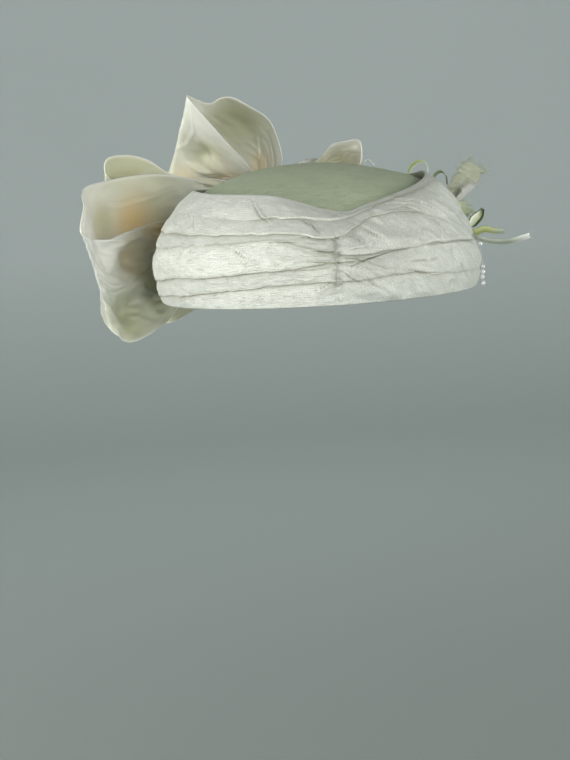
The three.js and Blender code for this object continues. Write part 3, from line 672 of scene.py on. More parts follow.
def drape_offsets(angle):
    """Height shares, offsets out and up, and painted shade at the creases: the band's outer face, ring by
    ring.
    """
    turn = wrap_angle(angle)
    x = turn * ARC_PER_DEGREE
    loose = np.clip((np.abs(turn - TUCK_ANGLE) - 2) / 8, 0.3, 1) * bell(turn, 0, 120)
    levels = [np.full_like(turn, 0.012)]
    depths = [np.zeros_like(turn)]
    for k, (heights, deep) in enumerate(PLEATS):
        jog = 0.010 * ripples(x, 0 * x, 11, 1, 31 + k) + 0.005 * ripples(x, 0 * x, 4, 1, 36 + k)
        levels.append(along_pleat(heights, turn) + jog * loose)
        depths.append(along_pleat(deep, turn) * (1.2 + 0.55 * ripples(x, 0 * x, 15, 1, 41 + k)))
    levels.append(np.ones_like(turn))
    depths.append(np.zeros_like(turn))
    heights, outs, ups, folds = [], [], [], []
    for k in range(len(levels) - 1):
        low, high = levels[k], levels[k + 1]
        deep, next_deep = depths[k], depths[k + 1]
        full = np.clip(0.2 + np.maximum(deep, next_deep), 0, 1)
        for share in ROW_SHARES:
            height = low + (high - low) * share
            rise = (height - low) * WALL_HEIGHT
            roll = 0.15 + 0.22 * deep
            u = np.clip(rise / roll, 0, 1)
            face = 0.6 * deep * (1 - share) ** 2 - 0.4 * next_deep * share**3
            face = face + PLEAT_PUFF * full * np.sin(np.pi * share) ** 0.8
            outs.append(face - deep * (1 - np.sqrt(1 - (1 - u) ** 2)))
            ups.append(-0.35 * deep * np.sin(np.pi * u**0.8))
            heights.append(height)
            # under and over are painted shade: at the foot of each crease, and where the cloth slips under
            # the fold above
            under = np.exp(-rise / 0.4) * np.clip(1.5 * deep, 0, 1)
            over = np.exp(-(high - height) * WALL_HEIGHT) * np.clip(1.3 * next_deep, 0, 1)
            folds.append(np.maximum(under, over))
    return np.array(heights), np.array(outs), np.array(ups), np.array(folds)


print("outer face:", len(spread_columns()), "columns,", len(ROW_SHARES) * (len(PLEATS) + 1), "rows")

# %% [markdown]
# Random ripples of three sizes, one long and soft, one short and sharp, one fine, stand for the way
# that stiff silk holds small dents. The cloth left of the tuck is pulled straight, while the cloth
# right of it lies on the bias and is slacker, so its ripples are turned and twice as high. The tuck
# itself is a narrow pinch that is tighter every few millimetres. At the lip the cloth turns over a
# thin roll and runs down inside, and at the rim it turns under.

# %% The draped band
BIAS = 0.62
SLACK_LEFT, SLACK_RIGHT = 1.25, 2.5
TUCK_FOOT, TUCK_TOP, TUCK_DEPTH = 0.22, 0.72, 2.5
PINCH_STEP = 5.2
LIP_HOLLOW = [(-180, 0), (-12, 0), (-2, 0.5), (8, 1.1), (28, 1.0), (45, 0.5), (62, 0), (180, 0)]
LIP_ROLL = 0.45


def turned_to_thread(x, y, right_of_tuck):
    """Places on the wall turned to run along and across the thread, which is on the bias at the right."""
    bias = np.where(right_of_tuck, BIAS, 0.0)
    return x * np.cos(bias) - y * np.sin(bias), x * np.sin(bias) + y * np.cos(bias)


def drape_points():
    """The band's rings, the angle of each column, and the painted shade at each point."""
    height, out, up, fold = drape_offsets(spread_columns())
    a = np.broadcast_to(wrap_angle(spread_columns()), height.shape)
    x, y = a * ARC_PER_DEGREE, height * WALL_HEIGHT
    right = a > TUCK_ANGLE
    top_right = np.clip((a + 6) / 8, 0, 1) * (a < 60)

    body = np.clip(height / 0.06, 0, 1) * np.clip((1 - height) / 0.05, 0, 1)
    seam = 1 - bell(np.abs(a), 180, 9)
    slack = np.where(right, SLACK_RIGHT, SLACK_LEFT) * (1 - 0.3 * bell(a, 90, 30))
    along, across = turned_to_thread(x, y, right)
    sharp = 1 - 2 * np.abs(ripples(along, across, 12, 6, 8))
    out = out + body * seam * slack * (
        0.5 * ripples(along, across, 24, 8, 3) + 0.3 * sharp + 0.16 * ripples(along, across, 4.5, 1.8, 5))
    wrinkle, groove = wrinkle_offset(a, height)
    out = out + body * wrinkle
    # The wrinkles' grooves add their painted shade to the fold mask.
    fold = np.maximum(fold, groove * body)

    broken = 0.6 + 0.4 * ripples(y, 0 * a, 2.6, 1, 51)
    line = bell(a + 0.5 * ripples(y, 0 * a, 4, 1, 52), TUCK_ANGLE - 0.5, 0.26)
    # Painted shade in a thin line under the lip roll at the right, and in a broken line down the tuck.
    fold = np.maximum(fold, 0.55 * (bell(height, 0.979, 0.004) * top_right))
    fold = np.maximum(fold, broken * line * (height > 0.24) * (height < TUCK_TOP))
    tuck = bell(a, TUCK_ANGLE, 1.7) * np.where((height > TUCK_FOOT) & (height < TUCK_TOP), 1.0, 0.35)
    pinch = 1 - 0.35 * np.cos(y / PINCH_STEP * 2 * np.pi)
    ridge = 0.2 * bell(a, TUCK_ANGLE + 0.4, 0.5) * (height > 0.2) * (height < 0.62)
    out = out - TUCK_DEPTH * tuck * pinch + ridge
    hollow = smooth(LIP_HOLLOW, a) * np.sin(np.pi * np.clip((height - 0.86) / 0.125, 0, 1))
    roll = LIP_ROLL * (1 + top_right) * bell(height, 0.993, 0.007)

    points = on_cap(a, height, out - hollow + roll)
    points[..., 2] += up
    under = on_cap(a[0], 0.004, -0.7 + 0.25 * ripples(x[0], 0, 7, 1, 2))
    over_lip = ((1.004, -0.1), (1.0, -1.1), (0.985, -2.0), (0.95, -DRAPE_WALL))
    lip = [on_cap(a[0], h, o) for h, o in over_lip]
    inside = [on_cap(a[0], h, -DRAPE_WALL) for h in (0.885, 0.8, 0.69, 0.54, 0.41, 0.28, 0.14, 0.012)]
    rim = on_cap(a[0], 0.0, -1.9)
    rings = np.concatenate([[under], points, lip, inside, [rim]])
    mask = np.zeros(rings.shape[:2])
    mask[1 : 1 + len(points)] = fold
    # Painted shade on the inside of the band, between the lip and the tip.
    mask[2 + len(points) : -1] = 0.8
    return rings, a[0], mask


band = drape_points()
print("band:", band[0].shape[0], "rings of", band[0].shape[1], "points")

# %% [markdown]
# The band's cloth map has one pair of numbers for each corner of each face, not for each point: at the
# tuck two lengths of cloth meet whose threads run different ways, so a point there needs two places
# on the map. The same holds at the back, where the angle jumps from 180 to -180.

# %% The band's map and mesh
def cloth_map(points, angle, faces):
    """Millimetres along and across the thread, a pair for each corner of each face."""
    lanes = points.shape[1]
    climb = np.linalg.norm(np.diff(points, axis=0, prepend=points[:1]), axis=2)
    up = np.cumsum(np.median(climb, axis=1))[:, None] * np.ones(lanes)
    round_cap = np.broadcast_to(angle * ARC_PER_DEGREE, up.shape)
    corners = np.stack([round_cap.ravel()[faces], up.ravel()[faces]], -1)
    wraps = np.ptp(corners[..., 0], axis=1) > FULL_TURN / 2
    behind = corners[wraps, :, 0]
    corners[wraps, :, 0] = np.where(behind < 0, behind + FULL_TURN, behind)
    right = corners[..., 0].mean(axis=1) > TUCK_ANGLE * ARC_PER_DEGREE
    turned = turned_to_thread(corners[..., 0], corners[..., 1], right[:, None])
    return np.stack(turned, -1).reshape(-1, 2)


def make_drape(points, angle, fold):
    """The band as one closed body. Its grain is coarser right of the tuck."""
    rows, lanes = points.shape[:2]
    coarse = np.clip((angle - TUCK_ANGLE) / 8, 0, 1) + np.zeros((rows, 1))
    faces = np.concatenate([grid_faces(rows, lanes, wrap=True), last_to_first(rows, lanes)])
    piece = make_piece(
        "draped_band", points.reshape(-1, 3), faces, DRAPE_SILK, "drape_silk",
        cloth_map(points, angle, faces), fold=fold.ravel(), coarse=coarse.ravel())
    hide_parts("side_drape")
    return piece


drape = make_drape(*band)
print("draped band:", len(drape.data.polygons), "faces")

# %% [markdown]
# ## The crown
#
# The crown is a blocked cap covered in silk of the same weave, seen only as the shallow tip inside the
# lip. Its silk is the band's recipe, painted greener and darker: painted shade on top of the real half
# shade that the lamps give the tip. Its colour is set greener and duller than the band's, because the
# tip looks so on a worn hat, whether from shade or from a cloth of its own. It is turned on rings like
# the band: up the wall, over the dome to the middle, and back down the inside, so it is a shell with a
# real inner face for the wearer's head. Each side of the tip closes in a fan of triangles. The thread
# runs straight across the hat, so its map is simply x and y.

# %% The crown
CROWN_LANES = 240
DIP_ANGLE, DIP_WIDTH, DIP_DEPTH = 4, 13, 2.2


def on_tip(angle, share, below=0.0):
    """Points of the tip: `share` is 0 in its middle and 1 at its edge, `below` how far under its face."""
    edge = LIP_REACH + 0.025
    turn = np.radians(angle)
    press = side_press(angle, 1.0)
    x = (HALF_WIDTH * edge - press) * share * np.sin(turn)
    y = -(HALF_DEPTH * edge - press) * share * np.cos(turn)
    swell = smooth(LIP_SWELL, wrap_angle(angle)) * share**4
    rise = TIP_DOME * (1 - share**2) - TIP_DROP - 3.2 * share**8
    return np.stack([x, y, LIP_HEIGHT + y * TIP_SLOPE + swell + rise - below], -1)


def make_crown():
    """The crown as one shell of rings and two fans."""
    angle = np.linspace(-180, 180, CROWN_LANES, endpoint=False)
    outer = -DRAPE_WALL - GAP - DIP_DEPTH * bell(angle, DIP_ANGLE, DIP_WIDTH)
    shares = np.concatenate([[0.93, 0.9], np.linspace(0.87, 0.02, 34)])
    tip = np.stack([on_tip(angle, s) for s in shares])
    edge = np.clip((shares - 0.3) / 0.6, 0, 1)[:, None]
    tip[..., 2] += 0.22 * edge * ripples(tip[..., 0], tip[..., 1], 16, 7, 21)
    tip[..., 2] += 0.5 * bell(shares, 0.84, 0.05)[:, None] * ripples(tip[..., 0], tip[..., 1], 4, 2.5, 22)
    wall = [on_cap(angle, h, outer) for h in (0.02, 0.14, 0.28, 0.41, 0.54, 0.69, 0.8, 0.885)]
    under = [on_tip(angle, s, CROWN_WALL) for s in np.linspace(0.02, 0.92, 20)]
    inner = [on_cap(angle, h, outer - CROWN_WALL) for h in (0.845, 0.77, 0.69, 0.54, 0.41, 0.28, 0.14, 0.02)]
    rings = np.concatenate([wall, tip, under, inner])
    rows, lanes = rings.shape[:2]
    faces = grid_faces(rows, lanes, wrap=True)
    top_last = len(wall) + len(tip) - 1
    between = faces[:, 0] // lanes == top_last
    points = np.concatenate([rings.reshape(-1, 3), [on_tip(0, 0.0)], [on_tip(0, 0.0, CROWN_WALL)]])
    above = fan(top_last * lanes, lanes, len(points) - 2)
    below = fan((top_last + 1) * lanes, lanes, len(points) - 1, flip=True)
    quads = np.concatenate([faces[~between], last_to_first(rows, lanes)])
    faces = np.array(quads.tolist() + above.tolist() + below.tolist(), dtype=object)
    low = np.where(points[:, 2] < 40, points[:, 2], 0)
    flat = points[:, :2] + np.stack([0 * low, low], -1)
    piece = make_piece("crown_cap", points, faces, CROWN_SHADED_SILK, "crown_silk", flat, fold=0 * low)
    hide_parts("crown")
    return piece


crown = make_crown()
print("crown:", len(crown.data.polygons), "faces")

# %% [markdown]
# ## Ribbon loops
#
# The bow is made of lengths of one ribbon, 64 mm wide, folded into loops that are gathered at a knot.
# A ribbon could be a curve with a flat bevel, but a bevel can't narrow to a gather or lean its two
# edges apart. So each loop is a table of stations: where its upper and lower edges pass, and how far
# the middle bellies out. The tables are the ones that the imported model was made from. Between
# stations the edges are Catmull-Rom curves.

# %% Stations of the ribbon loops
BOW_LOOPS = {
    # x, y, z of one edge, x, y, z of the other edge, and the belly, all in mm
    "bow_loop_large": [
        (-39.4, 104.8, 60, -39.4, 104.8, 46, 0), (-52, 95, 64, -58, 101, 30, 1),
        (-64, 83, 68, -75, 94, 14, 2), (-86, 65, 71, -94, 80, 8, 4),
        (-109, 48, 69, -109, 63, 4, 4), (-124, 25, 65, -118, 46, 1, 3),
        (-125, 5, 55, -119, 28, -6, 3), (-127.5, -4, 42, -115, 15, -13, 2),
        (-117, 6, 37, -106, 20, -21, 2), (-101, 26, 40, -90, 34, -17, 4),
        (-86, 54, 43, -76, 61, -9, 3), (-70, 76, 45, -66, 79, 2, 1),
        (-50, 94, 44, -50, 96, 22, 0), (-36.8, 100.4, 43, -36.8, 100.4, 30, 0)],
    "bow_loop_back": [
        (-40.2, 112.2, 61, -40.2, 112.2, 46, 0), (-54, 104, 65, -58, 114, 34, 1),
        (-65, 96, 68, -74, 112, 24, 2), (-74, 91, 72, -86, 106, 19, 3),
        (-84, 85, 79, -96, 99, 18, 3), (-97, 77, 83, -106, 92, 18, 2),
        (-109, 70, 81, -113, 84, 18, 0), (-110, 67, 73, -111, 79, 15, 0),
        (-102, 72, 66, -103, 82, 12, 0), (-88, 80, 62, -92, 90, 14, 0),
        (-72, 87, 58, -78, 100, 20, 0), (-56, 98, 56, -60, 107, 30, 0),
        (-40.4, 108.5, 58, -40.4, 108.5, 44, 0)],
    "bow_loop_upright": [
        (-24, 104, 64.9, -36, 104, 64.9, 0), (-24, 95, 70, -46, 110, 65.4, 0),
        (-36, 86, 85, -57, 110.5, 64, 0), (-48, 80, 100, -66, 110, 65, -2),
        (-59, 79, 114.5, -71, 111, 67, 0), (-52, 88, 112, -72, 117, 69, 0),
        (-44, 97, 110, -66, 124, 69, 3), (-37.5, 101.5, 113.5, -56, 127, 68, 5),
        (-31, 103, 113.3, -46, 127, 66, 6), (-20, 105, 107, -38, 125, 65, 5),
        (-10, 105, 99.5, -30, 122, 65, 4), (-5, 105, 89, -24, 120, 65, 2),
        (-4, 106, 70, -26, 119, 65, 1), (-23, 113, 64.9, -35, 113, 64.9, 0)],
    "bow_loop_small": [
        (-18.5, 107.6, 56, -18.5, 107.6, 42, 0), (-4, 110, 58, -5, 110, 32, 0),
        (24, 102, 60, 26, 110, 32, 0),
        (37, 100, 62, 39, 112, 36, 0), (43, 101, 68, 45, 115, 44, 0),
        (45.5, 102.5, 78, 46.5, 119, 52, 0), (44.5, 104, 83.5, 43, 122, 58, 0),
        (36, 105, 83.5, 35, 124, 60, 0), (28, 106, 82, 27, 124, 58, 0),
        (23, 107, 77, 20, 123, 52, 0), (16, 109, 71, 10, 121, 42, 0), (2, 113, 64, 0, 121, 36, 0),
        (-19.6, 114, 56, -19.6, 114, 42, 0)],
    "bow_loop_low": [
        (-35.5, 119.4, 42, -35.5, 119.4, 30, 0), (-50, 122, 32, -48, 118, 8, 0),
        (-66, 116, 20, -64, 108, -8, 0), (-80, 106, 8, -78, 98, -14, 0),
        (-87, 97, 2, -84, 90, -17, 0), (-81, 91, 3, -77, 86, -17, 0),
        (-69, 96, 8, -67, 90, -13, 0), (-56, 104, 16, -54, 99, -6, 0),
        (-44, 109, 25, -44, 106, 10, 0), (-40, 113.6, 36, -40, 113.6, 26, 0)],
    "bow_tail": [
        (-23.4, 118.6, 57, -23.4, 118.6, 44, 0), (-10, 126, 60, -9, 126, 34, 0),
        (3, 128.5, 68, 5, 128, 26, 0), (13, 128.5, 73.5, 15, 128, 24, 0),
        (24, 127.5, 74, 25, 127, 26, 0)]}
RIBBON_WIDTH = 64.0
print("stations:", {name: len(stations) for name, stations in BOW_LOOPS.items()})

# %% [markdown]
# A strip joins its two edges row by row and bellies out between them. It is seen from both sides, so
# it has to be a closed body. A Solidify modifier would give it one thickness, but a ribbon's woven
# edge is thicker than its middle, so the sheet is doubled here with a thickness for each point.

# %% Strips and thin bodies
def spline(points, steps):
    """A centripetal Catmull-Rom curve through the points, `steps` to a span."""
    p = np.asarray(points, float)
    p = np.concatenate([[2 * p[0] - p[1]], p, [2 * p[-1] - p[-2]]])
    u = np.arange(steps)[:, None] / steps
    spans = []
    for a, b, c, d in zip(p[:-3], p[1:-2], p[2:-1], p[3:]):
        h0, h1, h2 = (max(np.linalg.norm(q - r) ** 0.5, 1e-4) for q, r in ((b, a), (c, b), (d, c)))
        start = ((b - a) / h0 - (c - a) / (h0 + h1) + (c - b) / h1) * h1
        end = ((c - b) / h1 - (d - b) / (h1 + h2) + (d - c) / h2) * h1
        square, cube = 3 * (c - b) - 2 * start - end, 2 * (b - c) + start + end
        spans.append(b + start * u + square * u**2 + cube * u**3)
    return np.concatenate(spans + [[p[-2]]])


def sheet_normals(sheet):
    """The direction square to a sheet at each of its points."""
    along = np.gradient(sheet, axis=0)
    across = np.gradient(sheet, axis=1)
    normal = np.cross(along, across)
    return normal / np.maximum(np.linalg.norm(normal, axis=2, keepdims=True), 1e-9)


def strip_sheet(stations, steps, lanes):
    """Middle points of a strip, rows along it and lanes across it."""
    table = np.asarray(stations, float)
    near, far = spline(table[:, :3], steps), spline(table[:, 3:6], steps)
    along = np.gradient(near + far, axis=0)
    normal = np.cross(along, far - near)
    normal /= np.maximum(np.linalg.norm(normal, axis=1, keepdims=True), 1e-9)
    place = np.linspace(0, 1, len(near))
    belly = smooth(np.stack([np.linspace(0, 1, len(table)), table[:, 6]], -1), place)
    s = np.linspace(0, 1, lanes + 1)[None, :, None]
    bulge = normal[:, None] * belly[:, None, None] * np.sin(np.pi * s)
    return near[:, None] * (1 - s) + far[:, None] * s + bulge


def shell(sheet, wall):
    """Points and faces of a closed thin body round a sheet; `wall` is its thickness at each point."""
    rows, lanes = sheet.shape[:2]
    offset = sheet_normals(sheet) * (np.broadcast_to(wall, (rows, lanes))[..., None] / 2)
    points = np.concatenate([(sheet + offset).reshape(-1, 3), (sheet - offset).reshape(-1, 3)])
    front = grid_faces(rows, lanes)[:, ::-1]
    back = grid_faces(rows, lanes, rows * lanes)
    border = np.concatenate([
        np.arange(lanes), np.arange(1, rows) * lanes + lanes - 1,
        (rows - 1) * lanes + np.arange(lanes - 2, -1, -1), np.arange(rows - 2, 0, -1) * lanes])
    ahead = np.roll(border, -1)
    sides = np.stack([border, ahead, ahead + rows * lanes, border + rows * lanes], -1)
    return points, np.concatenate([front, back, sides])


tail = strip_sheet(BOW_LOOPS["bow_tail"], 12, 60)
print("a strip for the tail:", tail.shape[0], "rows of", tail.shape[1], "points")

# %% [markdown]
# The strips are then dressed with what a real ribbon has: ripples, dents that a finger left, sharp
# folds, and gathers that run into the knot. A cloth brush in Sculpt mode could press them in, but
# tables can be read and changed. Places on a ribbon are millimetres along it from its first station
# and across it from its middle. The large loop is crumpled past its turn, so its ripples are higher
# there. The last table marks the places where the satin's two masks, its painted shade and its
# painted glow, are high.

# %% Folds and shades of the bow
RIBBON_BODY = 0.45
RIBBON_EDGE = 0.35
CRUMPLE = {"bow_loop_large": 3.4}
GATHER = {"bow_loop_upright": 0.45}
FRONT_FACE = {
    # which way along its normal each strand's front lies, before and after the loop turns
    "bow_loop_large": (1, -1), "bow_loop_back": (1, -1), "bow_loop_upright": (1, -1),
    "bow_loop_small": (-1, 1), "bow_loop_low": (1, -1), "bow_tail": (-1, -1)}
RIBBON_DENTS = {
    # depth, half lengths along and across, and the middle's place along and across, all in mm
    "bow_loop_large": [
        (-8.0, 13, 9, 185, -14), (-4.5, 7, 6, 158, -25), (4.0, 15, 5, 178, -1), (-5.5, 12, 9, 168, 14),
        (2.5, 7, 5, 204, 16), (1.6, 10, 6, 202, 20), (-1.5, 5, 4, 140, -20), (1.5, 6, 4, 60, -22)],
    "bow_loop_upright": [
        (-6.0, 9, 8, 25, -4), (2.2, 12, 4, 24, 13), (1.4, 7, 8, 34, -24),
        (-1.4, 6, 8, 95, -14), (1.2, 5, 6, 108, -16)],
    "bow_loop_small": [(-1.2, 6, 5, 60, 4), (1.0, 6, 4, 86, -18)],
    "bow_loop_back": [(1.2, 8, 6, 68, -24)],
    "bow_loop_low": [(1.0, 7, 6, 40, 5)],
    "bow_tail": [(1.0, 6, 7, 24, 6)]}
RIBBON_FOLDS = {
    # depth, width, raised edge, and the fold's path along and across
    "bow_loop_large": [
        (1.5, 1.6, 1.4, [(208, -5), (192, -3), (175, -3), (160, 0), (150, 2)]),
        (1.3, 1.2, 1.2, [(206, -22), (190, -25), (172, -24), (160, -28)]),
        (1.3, 1.3, 1.2, [(212, 30), (203, 22), (192, 12), (183, 4)]),
        (0.8, 1.1, 1.2, [(152, -8), (160, -14), (166, -22)]),
        (0.9, 1.1, 1.2, [(174, 10), (166, 20), (154, 24)]),
        (0.7, 1.0, 1.2, [(146, 10), (156, 12), (166, 8)]),
        (0.5, 1.0, 1.2, [(150, -30), (156, -22), (158, -14), (152, -6)]),
        (0.4, 0.9, 1.2, [(168, -31), (171, -24), (168, -17)]),
        (0.5, 1.2, 1.0, [(160, 6), (170, 14), (182, 24), (190, 32)]),
        (0.5, 1.3, 1.0, [(40, -26), (62, -20), (84, -18), (104, -24)]),
        (0.4, 1.3, 1.0, [(52, -6), (74, 0), (96, -4), (116, 6)])],
    "bow_loop_upright": [
        (0.8, 1.2, 1.3, [(40, 12), (30, 15), (20, 13), (9, 9)]),
        (0.6, 1.0, 1.1, [(44, -30), (39, -14), (40, -2), (46, 8)]),
        (0.5, 1.0, 1.0, [(14, -20), (20, -12), (18, -4)]),
        (0.4, 0.9, 1.0, [(20, -28), (28, -20), (30, -10)]),
        (0.5, 1.2, 1.0, [(66, -31), (74, -16), (86, -8)]),
        (0.5, 1.2, 1.0, [(112, -28), (108, -12), (116, 6)])],
    "bow_loop_small": [
        (0.3, 1.4, 1.0, [(58, -26), (66, -10), (64, 8)]),
        (0.3, 1.2, 1.0, [(80, -24), (92, -12), (96, 6)])],
    "bow_loop_back": [(0.4, 1.2, 1.0, [(52, -30), (64, -20), (80, -22)])],
    "bow_loop_low": [(0.5, 1.4, 1.0, [(26, -12), (40, 0), (54, 4)])],
    "bow_tail": [(0.4, 1.2, 1.0, [(8, -16), (22, -8), (36, -12)])]}
RIBBON_SHADE_AND_GLOW = [
    # x, y, z, reach, painted shade, painted glow: places deep in the bow, where the cloth only sees other
    # cloth
    (-94, 55, 45, 13, 0.4, 1.0), (-113, 40, 46, 14, 0.8, 0.1), (-80, 60, 40, 12, 0.2, 0.7),
    (-97, 34, 24, 14, 0.8, 0.35), (-105, 24, -8, 22, 1.0, 0.0), (-86, 46, 0, 20, 0.9, 0.0),
    (-118, 14, 10, 9, 0.3, 0.0), (-50, 94, 79, 14, 1.0, 0.0), (-28, 112, 100, 24, 1.0, 0.0),
    (-15, 115, 73, 7, 0.3, 0.5), (34, 110, 69, 14, 1.0, 0.1), (24, 108, 68, 9, 0.9, 0.2),
    (-76, 80, -14, 26, 1.0, 0.0), (-100, 85, 76, 44, 1.0, 0.0), (-62, 104, 67, 8, 0.5, 0.4),
    (-38, 104, 62, 12, 0.5, 0.35), (-74, 104, -4, 30, 1.0, 0.0)]
print(sum(len(folds) for folds in RIBBON_FOLDS.values()), "folds and", len(RIBBON_SHADE_AND_GLOW), "tinted places")

# %% [markdown]
# Each loop is now its strip, dressed, thickened and mapped.

# %% The bow
def ribbon_map(sheet):
    """Millimetres along and across a ribbon of full width."""
    rows, lanes = sheet.shape[:2]
    middle = sheet[:, lanes // 2]
    run = np.concatenate([[0], np.cumsum(np.linalg.norm(np.diff(middle, axis=0), axis=1))])
    across = np.linspace(-0.5, 0.5, lanes) * RIBBON_WIDTH
    return np.broadcast_to(run[:, None], (rows, lanes)), np.broadcast_to(across, (rows, lanes))


def dress_ribbon(name, sheet, seed):
    """Adds ripples, dents, sharp folds, and the gathers that run into the knot."""
    along, across = ribbon_map(sheet)
    normal = sheet_normals(sheet)
    length = along.max()
    from_knot = along if name == "bow_tail" else np.minimum(along, length - along)
    gather = np.exp(-((from_knot / 22) ** 2))
    s = across / RIBBON_WIDTH
    lift = np.cos(2 * np.pi * (4.5 * s + 0.13 * seed)) * GATHER.get(name, 1.0) * gather
    free = np.clip(from_knot / 12, 0, 1)
    rough = 1 + CRUMPLE.get(name, 0) * np.clip((along - 138) / 12, 0, 1)
    soft = ripples(along, across, 17, 13, seed)
    sharp = 1 - 2 * np.abs(ripples(along + 0.4 * across, across - 0.3 * along, 12, 6, seed + 20))
    fine = ripples(along, across, 6, 4, seed + 40)
    lift = lift + free * (0.45 * soft + 0.3 * rough * sharp + 0.14 * rough * fine)
    for depth, reach_along, reach_across, at_along, at_across in RIBBON_DENTS[name]:
        lift = lift + depth * bell(along, at_along, reach_along) * bell(across, at_across, reach_across)
    for depth, width, ridge, path in RIBBON_FOLDS[name]:
        lift = lift + depth * creased(along, across, path, width, ridge)
    before, after = FRONT_FACE[name]
    turned = 0.5 + 0.5 * np.tanh((along - length / 2) / 6)
    return sheet + normal * ((before + (after - before) * turned) * lift)[..., None]


def ribbon_shade_and_glow(points, edge):
    """The painted shade and painted glow at each point, deep in the bow. The woven edges stay pale."""
    shade, glow = np.zeros(len(points)), np.zeros(len(points))
    for x, y, z, reach, dark, warm in RIBBON_SHADE_AND_GLOW:
        near = np.exp(-(np.linalg.norm(points - (x, y, z), axis=1) / reach) ** 2)
        shade, glow = np.maximum(shade, dark * near), np.maximum(glow, warm * near)
    inside = 1 - 0.9 * np.exp(-((edge / 1.1) ** 2))
    return shade * inside, glow * inside


def make_ribbon(name, stations, seed, steps=12, lanes=60):
    """One loop or tail of the bow."""
    sheet = dress_ribbon(name, strip_sheet(stations, steps, lanes), seed)
    along, across = ribbon_map(sheet)
    edge = RIBBON_WIDTH / 2 - np.abs(across)
    wall = RIBBON_BODY + RIBBON_EDGE * np.exp(-((edge / 0.8) ** 2))
    points, faces = shell(sheet, wall)
    cloth = np.tile(np.stack([along, across], -1).reshape(-1, 2), (2, 1))
    shade, glow = ribbon_shade_and_glow(points, np.tile(edge.ravel(), 2))
    piece = make_piece(
        name.replace("bow_", "ribbon_"), points, faces, RIBBON_SATIN, "ribbon", cloth, shade=shade, glow=glow)
    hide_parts(name)
    return piece


for i, (name, stations) in enumerate(BOW_LOOPS.items()):
    print(make_ribbon(name, stations, 11 + i).name)

# %% [markdown]
# ## The knot and the pad
#
# The loops are gathered under a turn of ribbon at the back of the crown. The knot is a short barrel
# whose ribbon is bunched into folds that run round it, with a pleated end of ribbon that leaves it on
# the side of the large loops.

# %% The knot
KNOT_X, KNOT_Y, KNOT_LOW, KNOT_HIGH, KNOT_RADIUS = -29.4, 109.0, 26.0, 64.0, 9.6
KNOT_MAP_RADIUS = 9.5


def knot_barrel():
    """Points, faces and map of the bunched barrel, closed by a fan at each end."""
    turns = np.linspace(0, 2 * np.pi, 72, endpoint=False)
    rise = np.linspace(0, 1, 60)[:, None]
    z = KNOT_LOW + (KNOT_HIGH - KNOT_LOW) * rise
    barrel = KNOT_RADIUS * dome(rise, 0.18)
    slack = 1.6 * np.sin(turns + 0.6)
    bunched = 1 - np.abs(np.sin((z + slack) * np.pi / 6.2)) ** 0.7
    radius = barrel - 0.9 * bunched + 0.3 * ripples(turns * KNOT_MAP_RADIUS, z, 9, 3, 61)
    points = np.stack([
        KNOT_X + radius * np.cos(turns), KNOT_Y + radius * np.sin(turns), z + 0 * turns], -1)
    rows, lanes = points.shape[:2]
    faces = grid_faces(rows, lanes, wrap=True).tolist()
    faces += fan(0, lanes, rows * lanes, flip=True).tolist()
    faces += fan((rows - 1) * lanes, lanes, rows * lanes + 1).tolist()
    ends = [[KNOT_X, KNOT_Y, KNOT_LOW], [KNOT_X, KNOT_Y, KNOT_HIGH]]
    flat = np.stack([turns * KNOT_MAP_RADIUS + 0 * z, z + 0 * turns], -1).reshape(-1, 2)
    flat = np.concatenate([flat, [[0, 0], [0, KNOT_HIGH - KNOT_LOW]]])
    return np.concatenate([points.reshape(-1, 3), ends]), faces, flat


def knot_collar():
    """Points, faces and map of the pleated ribbon that leaves the knot."""
    sheet = strip_sheet([
        (-28, 104, 63, -28, 106, 53, 0), (-40, 99, 64.5, -42, 102, 55, 1),
        (-50, 96, 66.5, -54, 98, 58, 1), (-60, 92, 67, -64, 95, 60, 0)], 10, 24)
    along = np.linspace(0, 34, sheet.shape[0])[:, None]
    across = np.linspace(0, 12, sheet.shape[1])[None, :]
    pleats = 0.5 * np.cos(2 * np.pi * across / 4.8 + along / 16)
    points, faces = shell(sheet + sheet_normals(sheet) * pleats[..., None], 0.6)
    flat = np.stack(np.broadcast_arrays(along, across), -1).reshape(-1, 2)
    return points, faces, np.tile(flat, (2, 1))


def make_knot():
    """The barrel and the collar as one piece."""
    points, faces, flat = knot_barrel()
    more_points, more_faces, more_flat = knot_collar()
    faces = np.array(faces + (more_faces + len(points)).tolist(), dtype=object)
    points = np.concatenate([points, more_points])
    # The whole knot gets an even painted shade and a little painted glow, as it lies deep in the bow.
    piece = make_piece(
        "ribbon_knot", points, faces, RIBBON_SATIN, "ribbon", np.concatenate([flat, more_flat]),
        shade=np.full(len(points), 0.45), glow=np.full(len(points), 0.1))
    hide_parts("bow_knot")
    return piece


print(make_knot().name)

# %% [markdown]
# The spray is sewn to a small pad of layered silk on the drape. Three overlapping rows of torn silk
# make its outer face. They could be three sheets, but a pad whose thickness steps like shingles has
# the same look, is one closed body, and hides every root of the spray.

# %% The pad
PAD_FROM, PAD_TO, PAD_LOW, PAD_HIGH, PAD_LIFT, PAD_WALL = 97, 152, 0.42, 0.74, 2.9, 2.2


